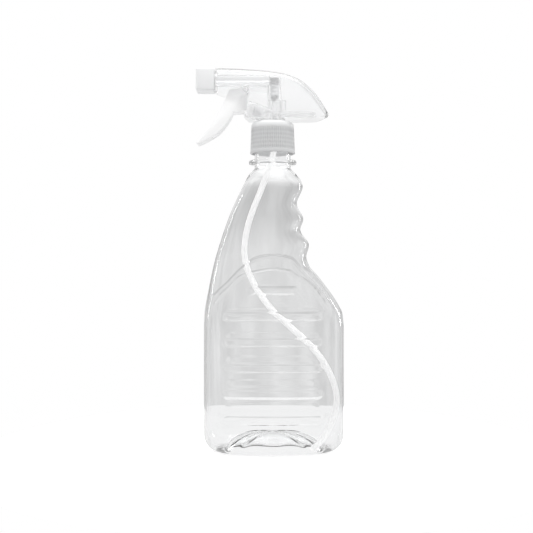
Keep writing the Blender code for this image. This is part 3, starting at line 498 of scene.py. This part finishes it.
def noise(tree, place, scale, detail):
    node = tree.nodes.new("ShaderNodeTexNoise")
    node.inputs["Scale"].default_value = scale
    node.inputs["Detail"].default_value = detail
    tree.links.new(place, node.inputs["Vector"])
    return node.outputs["Fac"]


def surface_detail(tree, shader, rough, scale, bump, depth):
    """Uneven gloss and a fine moulded waviness, both from one noise in object space."""
    place = tree.nodes.new("ShaderNodeTexCoord").outputs["Object"]
    waves = noise(tree, place, scale, 3.0)
    tree.links.new(spread(tree, waves, (0.0, 1.0), rough), shader.inputs["Roughness"])
    node = tree.nodes.new("ShaderNodeBump")
    node.inputs["Strength"].default_value = bump
    node.inputs["Distance"].default_value = depth
    tree.links.new(waves, node.inputs["Height"])
    tree.links.new(node.outputs["Normal"], shader.inputs["Normal"])


def plastic(name, colour, rough=(0.3, 0.45), clear=0.0, ior=1.49, scale=400.0, bump=0.05,
            depth=0.0002, soft=0.0, painted_glow=0.0):
    """Moulded plastic: opaque, or clear by a share, with a fine uneven gloss; its glow is painted
    light, a white emission though the part is no lamp.
    """
    material, tree, shader = nodes_of(name)
    shader.inputs["Base Color"].default_value = (*colour, 1)
    shader.inputs["Transmission Weight"].default_value = clear
    shader.inputs["IOR"].default_value = ior
    shader.inputs["Subsurface Weight"].default_value = soft
    shader.inputs["Subsurface Radius"].default_value = (0.002, 0.002, 0.002)
    # Painted light: a white emission that brightens the part as if more light reached it.
    shader.inputs["Emission Color"].default_value = (1, 1, 1, 1)
    shader.inputs["Emission Strength"].default_value = painted_glow
    surface_detail(tree, shader, rough, scale, bump, depth)
    return material


def steel(name, colour, rough):
    material, tree, shader = nodes_of(name)
    shader.inputs["Base Color"].default_value = (*colour, 1)
    shader.inputs["Metallic"].default_value = 1.0
    surface_detail(tree, shader, rough, scale=900.0, bump=0.05, depth=0.0001)
    return material


# Painted light: the glow on these materials is a white emission that lifts parts the studio leaves
# too dark; none of them is a lamp.
PET = plastic("clear_pet", (0.978, 0.98, 0.982), rough=(0.01, 0.03), clear=1.0, ior=1.39,
              scale=38.0, bump=0.2, depth=0.0010)
NECK_PET = plastic("neck_pet", (0.97, 0.972, 0.975), rough=(0.02, 0.05), clear=1.0, ior=1.30,
                   scale=60.0, bump=0.2, depth=0.0005, painted_glow=0.05)
SHROUD_CLEAR = plastic("shroud_clear", (0.955, 0.957, 0.96), rough=(0.12, 0.24), clear=1.0,
                       ior=1.33, scale=120.0, bump=0.15, depth=0.0003, painted_glow=0.025)
MOULDING = plastic("clear_moulding", (0.94, 0.942, 0.946), rough=(0.12, 0.24), clear=0.80,
                   ior=1.33, scale=250.0, bump=0.1, painted_glow=0.09)
COLLAR_PLASTIC = plastic("collar_plastic", (0.87, 0.875, 0.88), rough=(0.24, 0.36), ior=1.46,
                         scale=300.0, soft=0.15, painted_glow=0.05)
NOZZLE_PLASTIC = plastic("nozzle_plastic", (0.88, 0.885, 0.89), rough=(0.28, 0.42),
                         scale=350.0, soft=0.3, painted_glow=0.05)
TRIGGER_PLASTIC = plastic("trigger_plastic", (0.92, 0.922, 0.925), rough=(0.22, 0.36),
                          scale=300.0, soft=0.4, painted_glow=0.155)
TUBE_PLASTIC = plastic("tube_plastic", (0.97, 0.97, 0.965), scale=500.0, soft=0.3, painted_glow=0.40)
WHITE = plastic("white_moulding", (0.93, 0.93, 0.925), painted_glow=0.15)
DARK = plastic("dark_moulding", (0.24, 0.24, 0.245), painted_glow=0.07)
SOFT = plastic("soft_seal", (0.82, 0.82, 0.81), rough=(0.5, 0.7), painted_glow=0.10)
SPRING_STEEL = steel("spring_steel", (0.62, 0.62, 0.63), rough=(0.2, 0.35))
BALL_STEEL = steel("ball_steel", (0.6, 0.61, 0.62), rough=(0.05, 0.12))


def paint_thread_shade(material):
    """Painted shade: level bands a little darker, standing for the shadow of the threads behind
    the wall, where it is thicker.
    """
    tree = material.node_tree
    shader = tree.nodes["Principled BSDF"]
    place = tree.nodes.new("ShaderNodeTexCoord")
    split = tree.nodes.new("ShaderNodeSeparateXYZ")
    tree.links.new(place.outputs["Object"], split.inputs[0])
    height = split.outputs["Z"]
    wave = maths(tree, "SINE", maths(tree, "MULTIPLY", height, math.tau / BAND_PITCH))
    top = HEAD_Z - BAND_TOP_DOWN
    below_top = spread(tree, height, (top + BAND_FADE, top - BAND_FADE), (0.0, 1.0))
    bands = spread(tree, wave, (-1.0, 1.0), BAND_SHARES)
    mix = tree.nodes.new("ShaderNodeMix")
    mix.data_type = "RGBA"
    mix.inputs["A"].default_value = shader.inputs["Base Color"].default_value
    mix.inputs["B"].default_value = THREAD_SHADE_COLOUR
    tree.links.new(maths(tree, "MULTIPLY", bands, below_top), mix.inputs["Factor"])
    tree.links.new(mix.outputs["Result"], shader.inputs["Base Color"])


def give(piece, material):
    piece.data.materials.clear()
    piece.data.materials.append(material)


def finish_piece(piece, body, node, material):
    give(piece, material)
    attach(piece, body)
    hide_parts(node)


# ================================================================ bottle
def section(z, inset):
    """Left, right and front half-widths of the bottle at heights, and how square it is."""
    up = np.clip((z - SHOULDER_Z) / (NECK_Z - SHOULDER_Z), 0.0, 1.0)
    heel = HEEL_R - np.sqrt(HEEL_R ** 2 - np.clip(HEEL_R - z, 0.0, None) ** 2)
    share = smooth(DEPTH_EDGE, up)
    left = NECK_R + (BODY_LEFT - NECK_R) * smooth(LEFT_EDGE, up)
    right = NECK_R + (BODY_RIGHT - NECK_R) * smooth(RIGHT_EDGE, up)
    depth = NECK_R + (BODY_DEPTH - NECK_R) * share
    square = 2 + (BODY_SQUARE - 2) * share
    return left - heel - inset, right - heel - inset, depth - heel - inset, square


def recess(x, z, inset):
    """Depth of the grooves and of the arch moulded into the front and back walls."""
    rib_share = np.where(inset > 0, INNER_SHARE, 1.0)
    arch_share = np.where(inset > 0, ARCH_INNER_SHARE, 1.0)
    pitch = (RIB_LAST_Z - RIB_FIRST_Z) / (RIB_COUNT - 1)
    ribs = [(RIB_FIRST_Z + pitch * i, RIB_HALF) for i in range(RIB_COUNT)]
    ribs.append((RIB_LAST_Z + pitch, SHORT_RIB_HALF))
    depth = np.zeros_like(x)
    for middle, half in ribs:
        # A stadium: the distance to the groove's centre line sets the depth.
        reach = np.maximum(np.abs(x) - (half - RIB_HEIGHT / 2), 0.0)
        away = np.hypot(reach, z - middle)
        slope = (RIB_HEIGHT - RIB_FLOOR) / 2
        depth = np.maximum(depth, RIB_DEPTH * ease((RIB_HEIGHT / 2 - away) / slope))
    # The band follows its middle line, is tallest at the crown and fades out down the sides.
    away = np.abs(z - smooth(ARCH, x)) / np.sqrt(1 + slope_of(ARCH, x) ** 2)
    crown = 1 - ease((np.abs(x) - ARCH_CROWN_FROM) / ARCH_CROWN_FADE)
    half = ARCH_HALF + (ARCH_CROWN_HALF - ARCH_HALF) * crown
    dip = 1 - ARCH_DIP * ease((half - ARCH_EDGE - away) / ARCH_EDGE)
    arch = ARCH_DEPTH * ease((half - away) / ARCH_EDGE) * dip
    arch = arch * ease((z - ARCH_FADE_Z) / ARCH_FADE_H)
    return np.maximum(depth * rib_share, arch * arch_share)


def bottle_rings(z, inset):
    """Rings of the bottle's wall at an array of heights."""
    z = np.asarray(z, float)[:, None]
    angle = RING_ANGLES[None, :]
    left, right, depth, square = section(z, inset)
    c, s = np.cos(angle), np.sin(angle)
    x = signed_power(c, 2 / square) * np.where(c > 0, right, left)
    y = signed_power(s, 2 / square) * depth
    facing = ease((np.abs(s) - FACE_FROM) / FACE_BLEND)
    share = np.where(s < 0, 1.0, BACK_SHARE)
    y = y - np.sign(s) * recess(x, z + 0 * x, inset) * facing * share
    return np.stack([x, y, z + 0 * x], axis=2)


def base_rings(inset):
    """The standing ring and the ribbed dome inside it, from the centre outwards."""
    flat = 1 - STANDING / (BODY_DEPTH - HEEL_R)
    foot = bottle_rings([0.0], inset)[0]
    rings = []
    # The first ring is a little off the centre, where the pole closes the dome.
    for rise in np.linspace(math.pi / 2 - 0.05, 0.0, DOME_RINGS):
        star = np.cos(STAR_RIBS * RING_ANGLES) * STAR_DEPTH * math.sin(2 * rise) ** 2
        ring = foot * (flat * math.cos(rise))
        ring[:, 2] = inset + np.maximum(PUSH_UP * math.sin(rise) + star, 0.0)
        rings.append(ring)
    return np.array(rings), (0, 0, inset + PUSH_UP)


def thread_height(angle, z, low, turns):
    """How far a helical ridge of round section stands off its wall."""
    height = np.zeros(np.broadcast(angle, z).shape)
    for turn in range(-1, 3):
        along = turn + angle / math.tau
        ends = ease(along / THREAD_LEAD) * ease((turns - along) / THREAD_LEAD)
        away = z - (low + PITCH * along)
        reach = np.sqrt(np.clip(THREAD_R ** 2 - away ** 2, 0.0, None))
        ridge = np.where(reach > 0, THREAD_PROUD - THREAD_R + reach, 0.0)
        height = np.maximum(height, ridge * ends)
    return height


def neck_rings(points, thread=False):
    """Turned part of the neck, from (radius, height) points, with the thread where asked."""
    rings = []
    for radius, z in points:
        r = np.full(BOTTLE_POINTS, radius)
        if thread:
            r = r + thread_height(RING_ANGLES, z, THREAD_LOW, BOTTLE_TURNS)
        rings.append(np.stack([r * np.cos(RING_ANGLES), r * np.sin(RING_ANGLES),
                               np.full(BOTTLE_POINTS, z)], axis=1))
    return np.array(rings)


def make_bottle():
    ring_z = NECK_Z + RING_UP
    ring_top = ring_z + RING_H
    heel = HEEL_R * (1 - np.cos(np.linspace(0.05, math.pi / 2, HEEL_RINGS)))
    levels = np.concatenate([heel, np.arange(HEEL_R + 0.0006, NECK_Z, LEVEL_STEP)])
    flange = []
    for side, angles in ((-1, quarter_turn(ROUND_POINTS)),
                         (1, quarter_turn(ROUND_POINTS)[::-1])):
        flat = RING_H / 2 - RING_ROUND
        flange += [(RING_R - RING_ROUND + RING_ROUND * math.sin(a),
                    ring_z + RING_H / 2 + side * (flat + RING_ROUND * math.cos(a)))
                   for a in angles]
    lip = [(NECK_R - LIP_ROUND + LIP_ROUND * math.cos(a),
            LIP_Z - LIP_ROUND + LIP_ROUND * math.sin(a)) for a in quarter_turn(ROUND_POINTS)]
    thread_z = np.arange(ring_top + 0.0004, LIP_Z - 0.0006, THREAD_STEP)
    inner_levels = levels[::-1]
    blend = ease((inner_levels - NECK_Z) / BORE_BLEND + 1)
    thick = WALL + (NECK_R - BORE_R - WALL) * blend
    outer_base, outer_pole = base_rings(0.0)
    inner_base, inner_pole = base_rings(WALL)
    rings = np.concatenate([
        outer_base, bottle_rings([0.0], 0.0), bottle_rings(levels, 0.0),
        neck_rings([(NECK_R, NECK_Z), (NECK_R, ring_z - ROOT_ROUND),
                    (NECK_R + ROOT_ROUND, ring_z), *flange, (NECK_R + ROOT_ROUND, ring_top)]),
        neck_rings([(NECK_R, z) for z in thread_z], thread=True),
        neck_rings([*lip, (BORE_R + BORE_ROUND, LIP_Z), (BORE_R, LIP_Z - BORE_ROUND)]),
        neck_rings([(BORE_R, z) for z in np.linspace(LIP_Z - 0.001, NECK_Z, BORE_RINGS)]),
        bottle_rings(np.maximum(inner_levels, WALL), thick[:, None]),
        bottle_rings([WALL], WALL), inner_base[::-1]])
    mesh = grid_mesh("bottle_shell", rings, outer_pole, inner_pole)
    mesh.transform(Matrix.Translation(NECK_AT))
    bottle = add("bottle_shell", mesh)
    finish_piece(bottle, "bottle", "bottle", PET)
    # The thick neck is the clearest part of the moulding.
    bottle.data.materials.append(NECK_PET)
    middles = np.empty(len(mesh.polygons) * 3)
    mesh.polygons.foreach_get("center", middles)
    in_neck = middles[2::3] > NECK_Z - CLEAR_NECK_DOWN
    mesh.polygons.foreach_set("material_index", in_neck.astype(np.int32))


# ================================================================ closure
def make_closure():
    foot = COLLAR_LOW[2]
    crown = [(COLLAR_TOP_R - COLLAR_ROUND * (1 - math.sin(a)),
              HEAD_Z - COLLAR_ROUND * (1 - math.cos(a))) for a in quarter_turn(8)]
    plate_z = HEAD_Z - COLLAR_PLATE
    profile = [(COLLAR_HOLE_R, HEAD_Z), *crown, (COLLAR_R - COLLAR_LIP, foot + COLLAR_LIP_HIGH),
               (COLLAR_R, foot + COLLAR_LIP_LOW), (COLLAR_R, foot + COLLAR_FOOT_ROUND),
               (COLLAR_R - COLLAR_FOOT_ROUND, foot), (COLLAR_BORE_R, foot),
               (COLLAR_BORE_R, plate_z), (COLLAR_HOLE_R, plate_z)]

    def bumps(radius, height, angle):
        """Knurls cut into the skirt's outside, and the thread on its inside."""
        skirt = (radius > COLLAR_BORE_R + 0.0004) \
            * ease((HEAD_Z - KNURL_TOP_DOWN - height) / KNURL_FADE) \
            * ease((height - foot - KNURL_FOOT_UP) / KNURL_FADE)
        wave = np.abs(np.sin(KNURLS * angle / 2))
        knurls = KNURL_DEPTH * skirt * (1 - wave ** KNURL_SHAPE)
        inside = np.abs(radius - COLLAR_BORE_R) < 0.0002
        thread = thread_height(angle, height, THREAD_LOW - PITCH / 2, COLLAR_TURNS)
        return -knurls - thread * inside

    mesh = lathe("closure", subdivided(profile, 0.00035), KNURLS * 6, bumps)
    mesh.transform(Matrix.Translation(NECK_AT))
    collar = add("closure", mesh)
    sharpen(collar, 50)
    finish_piece(collar, "collar", "closure_collar", COLLAR_PLASTIC)
    # Painted shade: darker level bands on the skirt for the threads behind it.
    paint_thread_shade(COLLAR_PLASTIC)


# ================================================================ shroud
def shroud_solid(name, start, end, inset, foot=None):
    """The shroud's outside, or its hollow where it has an inset and a flat foot."""
    stations = start + (end - start) * np.sin(quarter_turn(SHROUD_STATIONS))
    low = smooth(SHROUD_FOOT, stations) if foot is None else np.full(SHROUD_STATIONS, foot)
    lean = np.sqrt(1 + slope_of(SHROUD_TOP, stations) ** 2)
    top = (smooth(SHROUD_TOP, stations) - inset * lean)[:, None]
    half = (smooth(SHROUD_SIDE, stations) - inset)[:, None]
    angle = np.linspace(0, math.pi, 57)[None, :]
    y = signed_power(np.cos(angle), 2 / SHROUD_SQUARE) * half
    z = low[:, None] + (top - low[:, None]) * np.abs(np.sin(angle)) ** (2 / SHROUD_SQUARE)
    rings = np.stack([stations[:, None] + 0 * y, y, z], axis=2)
    bm = bmesh.new()
    bm.from_mesh(grid_mesh(name, rings))
    bmesh.ops.holes_fill(bm, edges=[edge for edge in bm.edges if edge.is_boundary])
    return add(name, mesh_from(name, bm, outward=True))


def rounded(outline, share):
    """Cut each corner of an outline with a short curve."""
    out = []
    for a, b, c in zip([outline[-1], *outline], outline, [*outline[1:], outline[0]]):
        a, b, c = Vector(a), Vector(b), Vector(c)
        start, end = b.lerp(a, share), b.lerp(c, share)
        out += [tuple(start.lerp(b, t).lerp(b.lerp(end, t), t)) for t in (0, 0.25, 0.5, 0.75, 1)]
    return out


def make_shroud():
    low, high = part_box("shroud")
    start, end = low[0] - NECK_X, high[0] - NECK_X
    shroud = shroud_solid("shroud_cover", start, end, 0.0)
    hollow = shroud_solid("hollow", start + SHROUD_WALL, end - SHROUD_TAIL_WALL, SHROUD_WALL,
                          foot=SHROUD_HOLLOW_FOOT)
    boolean(shroud, hollow, "DIFFERENCE")
    opening = plate("opening", rounded(OPENING, OPENING_ROUND), OPENING_HALF)
    boolean(shroud, opening, "DIFFERENCE")
    # The hole for the barrel goes through the front wall only.
    hole = bar("hole", BARREL_R + GAP, *BARREL_HOLE, ALONG_BARREL, (0, 0, BARREL_Z - HEAD_Z))
    boolean(shroud, hole, "DIFFERENCE")
    shroud.data.transform(Matrix.Translation(HEAD_AT))
    sharpen(shroud, 30)
    finish_piece(shroud, "sprayer", "shroud", SHROUD_CLEAR)


# ================================================================ trigger
def curved(points):
    """A smooth (x, z) line through the given points."""
    return [(p.x, p.z) for p in through([(x, 0, z) for x, z in points], EDGE_STEP)]


def make_trigger():
    pivot = Vector((PIVOT.x - NECK_X, 0, PIVOT.z - HEAD_Z))
    front, rear = curved(FRONT_EDGE), curved(REAR_EDGE[:5])
    ear = [(pivot.x + EAR_R * math.cos(a), pivot.z + EAR_R * math.sin(a)) for a in EAR_ARC]
    trigger = plate("trigger_lever", front + rear + REAR_EDGE[5:] + ear, TRIGGER_OUT)
    # The lever is a channel, open behind and above; its hollow follows the front edge.
    inner = curved([(x + TRIGGER_WEB, z - TRIGGER_WEB / 2) for x, z in FRONT_EDGE[:4]])
    high = pivot.z + EAR_R + HOLLOW_RISE
    end_x, end_z = REAR_EDGE[1]
    hollow = [(inner[0][0], high), *inner, (end_x + HOLLOW_CORNER[0], end_z + HOLLOW_CORNER[1]),
              (0.0, end_z), (0.0, high)]
    boolean(trigger, plate("hollow", hollow, TRIGGER_IN), "DIFFERENCE")
    ear_hole = bar("ear_hole", PIN_R + GAP, -PIN_REACH, PIN_REACH, ALONG_Y, pivot)
    boolean(trigger, ear_hole, "DIFFERENCE")
    bevelled(trigger, TRIGGER_ROUND)
    nose = Vector((NOSE[0], 0, NOSE[1]))
    pusher_at = nose - PUMP_AXIS * (PUSHER_R + GAP)
    web_x = float(smooth([(z, x) for x, z in FRONT_EDGE[::-1]], pusher_at.z))
    shelf = rectangle(web_x + TRIGGER_WEB / 2, pusher_at.x, pusher_at.z - SHELF_HALF,
                      pusher_at.z + SHELF_HALF)
    boolean(trigger, plate("shelf", shelf, TRIGGER_IN + GAP), "UNION")
    pusher = bar("pusher", PUSHER_R, -TRIGGER_IN - GAP, TRIGGER_IN + GAP, ALONG_Y, pusher_at)
    boolean(trigger, pusher, "UNION")
    trigger.data.transform(Matrix.Translation(HEAD_AT))
    sharpen(trigger, 40)
    finish_piece(trigger, "trigger", "trigger", TRIGGER_PLASTIC)


# ================================================================ nozzle
def make_nozzle():
    half = NOZZLE_SIDE / 2
    bm = bmesh.new()
    bmesh.ops.create_cube(bm, size=1)
    for vert in bm.verts:
        vert.co = Vector((vert.co.x * NOZZLE_SIDE, vert.co.y * NOZZLE_SIDE,
                          (NOZZLE_FACE + NOZZLE_BACK) / 2
                          + vert.co.z * (NOZZLE_FACE - NOZZLE_BACK)))
    nozzle = add("nozzle_knob", mesh_from("nozzle_knob", bm))
    bevelled(nozzle, NOZZLE_ROUND, segments=5)
    wall_at = NOZZLE_FACE - NOZZLE_WALL
    bore = bar("bore", NOZZLE_BORE_R, NOZZLE_BACK - CUT_OVER, wall_at)
    boolean(nozzle, bore, "DIFFERENCE")
    hole = bar("hole", ORIFICE_HOLE_R, wall_at - CUT_OVER, NOZZLE_FACE + CUT_OVER)
    boolean(nozzle, hole, "DIFFERENCE")
    # A shallow groove runs round the knob, just behind its face.
    out, core_half = half + CUT_OVER, half - RIM_GROOVE_DEPTH
    near, far = (NOZZLE_FACE - back for back in RIM_GROOVE)
    rim = plate("rim", rectangle(-out, out, near, far), out)
    core = plate("core", rectangle(-core_half, core_half, *CORE_RUN), core_half)
    boolean(rim, core, "DIFFERENCE")
    boolean(nozzle, rim, "DIFFERENCE")
    nozzle.data.transform(Matrix.Translation((NECK_X, 0, BARREL_Z)) @ ALONG_BARREL)
    sharpen(nozzle, 30)
    finish_piece(nozzle, "nozzle", "nozzle", NOZZLE_PLASTIC)


# ================================================================ dip tube and springs
def make_dip_tube():
    straight = [(CHIMNEY_X, 0, HEAD_Z - down) for down in
                (TUBE_TOP, HOLDER_FOOT / 2, HOLDER_FOOT, HOLDER_FOOT + 2 * TUBE_R)]
    free = [(x * BODY_RIGHT, y * BODY_DEPTH, z * NECK_Z) for x, y, z in TUBE_ROUTE]
    path = through(straight + free, 0.0012)
    outer, inner = sweep(path, TUBE_R, 28), sweep(path, TUBE_BORE_R, 28)
    mesh = grid_mesh("suction_tube", np.concatenate([outer, inner[::-1]]), closed=True)
    mesh.transform(Matrix.Translation(NECK_AT))
    tube = add("suction_tube", mesh)
    sharpen(tube, 40)
    finish_piece(tube, "sprayer", "dip_tube", TUBE_PLASTIC)


def coil(name, radius, wire_r, turns, low, high):
    """A coil spring with round wire, along the local Z axis."""
    path = helix(radius, (high - low - 2 * wire_r) / turns, turns, low + wire_r, 40)
    bm = bmesh.new()
    bm.from_mesh(grid_mesh(name, sweep(path, wire_r, 12), path[0], path[-1]))
    return mesh_from(name, bm, outward=True)


def make_springs():
    low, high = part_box("outlet_spring")
    radius = (high[0] - low[0]) / 2 - OUTLET_WIRE_R
    mesh = coil("outlet_coil", radius, OUTLET_WIRE_R, OUTLET_TURNS, low[2], high[2])
    mesh.transform(Matrix.Translation(((low[0] + high[0]) / 2, 0, 0)))
    outlet = add("outlet_coil", mesh)
    finish_piece(outlet, "sprayer", "outlet_spring", SPRING_STEEL)
    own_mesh(outlet)

    low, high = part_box("return_spring")
    middle = (Vector(low) + Vector(high)) / 2
    length = RETURN_LENGTH
    mesh = coil("return_coil", RETURN_R, RETURN_WIRE_R, RETURN_TURNS, -length / 2, length / 2)
    turn = Vector((0, 0, 1)).rotation_difference(PUMP_AXIS).to_matrix().to_4x4()
    mesh.transform(Matrix.Translation(middle) @ turn)
    pump = add("return_coil", mesh)
    finish_piece(pump, "sprayer", "return_spring", SPRING_STEEL)
    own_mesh(pump)


# ================================================================ studio
def mixed(tree, others, direct):
    """One shader for camera rays and another for all others."""
    path = tree.nodes.new("ShaderNodeLightPath")
    mix = tree.nodes.new("ShaderNodeMixShader")
    tree.links.new(path.outputs["Is Camera Ray"], mix.inputs["Fac"])
    tree.links.new(others.outputs[0], mix.inputs[1])
    tree.links.new(direct.outputs[0], mix.inputs[2])
    return mix.outputs[0]


def make_camera():
    data = bpy.data.cameras.new("camera")
    data.sensor_width = SENSOR_WIDTH
    data.lens = SENSOR_WIDTH * abs(CAMERA_AT[1]) / PICTURE_WIDTH
    data.clip_start = 0.01
    camera = add("camera", data)
    camera.location = CAMERA_AT
    camera.rotation_euler = (math.pi / 2, 0, 0)
    bpy.context.scene.camera = camera


def make_floor():
    bm = bmesh.new()
    bmesh.ops.create_circle(bm, cap_ends=True, segments=128, radius=FLOOR_R)
    floor = add("floor", mesh_from("floor", bm))
    floor.location = (0, 0, -FLOOR_DROP)
    material, tree, shader = nodes_of("pale_floor")
    shader.inputs["Base Color"].default_value = (0.9, 0.9, 0.9, 1)
    shader.inputs["Roughness"].default_value = 0.9
    shader.inputs["Emission Color"].default_value = (1, 1, 1, 1)
    shader.inputs["Emission Strength"].default_value = FLOOR_GLOW
    # Seen straight, the floor runs into the white room; seen through the bottle it is greyer.
    behind = tree.nodes.new("ShaderNodeEmission")
    behind.inputs["Color"].default_value = (FLOOR_BEHIND, FLOOR_BEHIND, FLOOR_BEHIND, 1)
    output = tree.nodes["Material Output"]
    tree.links.new(mixed(tree, behind, shader), output.inputs["Surface"])
    give(floor, material)


def make_room():
    """A room that is white where it is seen straight, and lights the object in soft greys."""
    world = bpy.data.worlds.new("studio")
    bpy.context.scene.world = world
    world.use_nodes = True
    tree = world.node_tree
    tree.nodes.clear()
    place = tree.nodes.new("ShaderNodeTexCoord").outputs["Generated"]
    split = tree.nodes.new("ShaderNodeSeparateXYZ")
    tree.links.new(place, split.inputs[0])
    # Pale and dark walls take turns round the room.
    bearing = maths(tree, "ARCTAN2", split.outputs["Y"], split.outputs["X"])
    wave = maths(tree, "COSINE", maths(tree, "MULTIPLY", bearing, ROOM_SIDES))
    walls = spread(tree, wave, (-1.0, 1.0), ROOM_LEVELS)
    upper = spread(tree, split.outputs["Z"], UPPER_RISE, (0.0, UPPER_GAIN))
    shade = spread(tree, split.outputs["Z"], SHADE_RISE, (0.0, -SHADE_LOSS))
    # Soft upright unevenness, as of a room's walls and curtains.
    stretch = tree.nodes.new("ShaderNodeMapping")
    stretch.inputs["Scale"].default_value = CURTAIN_STRETCH
    tree.links.new(place, stretch.inputs["Vector"])
    curtains = noise(tree, stretch.outputs[0], CURTAIN_SCALE, CURTAIN_DETAIL)
    uneven = spread(tree, curtains, CURTAIN_SPREAD, (-CURTAIN_UNEVEN, CURTAIN_UNEVEN))
    level = walls
    for change in (upper, shade, uneven):
        level = maths(tree, "ADD", level, change)
    room = tree.nodes.new("ShaderNodeBackground")
    tree.links.new(level, room.inputs["Color"])
    backdrop = tree.nodes.new("ShaderNodeBackground")
    backdrop.inputs["Color"].default_value = (1, 1, 1, 1)
    output = tree.nodes.new("ShaderNodeOutputWorld")
    tree.links.new(mixed(tree, room, backdrop), output.inputs["Surface"])


def make_lights():
    for name, place, width, length, power in LIGHTS:
        data = bpy.data.lights.new(name, "AREA")
        data.shape = "RECTANGLE"
        data.size = width
        data.size_y = length
        data.energy = power
        light = add(name, data)
        light.location = place
        light.rotation_euler = (AIM_AT - Vector(place)).to_track_quat("-Z", "Y").to_euler()


def make_studio():
    make_camera()
    make_floor()
    make_room()
    make_lights()
    scene = bpy.context.scene
    scene.view_settings.view_transform = "Standard"
    scene.cycles.max_bounces = LIGHT_BOUNCES
    scene.cycles.transmission_bounces = LIGHT_BOUNCES
    scene.cycles.caustics_reflective = False


# ================================================================ carried-over nodes
def dress_cad_nodes():
    finishes = {"neck_gasket": SOFT, "sprayer_body": MOULDING, "trigger_pin": MOULDING,
                "piston": WHITE, "piston_seal": SOFT, "tube_holder": WHITE,
                "inlet_ball": BALL_STEEL, "outlet_valve": DARK, "chimney_plug": DARK,
                "spinner": WHITE, "nozzle_seal": SOFT, "orifice_cup": WHITE}
    for node, material in finishes.items():
        give(frame["nodes"][node], material)


make_studio()
dress_cad_nodes()
make_bottle()
make_closure()
make_shroud()
make_trigger()
make_nozzle()
make_dip_tube()
make_springs()
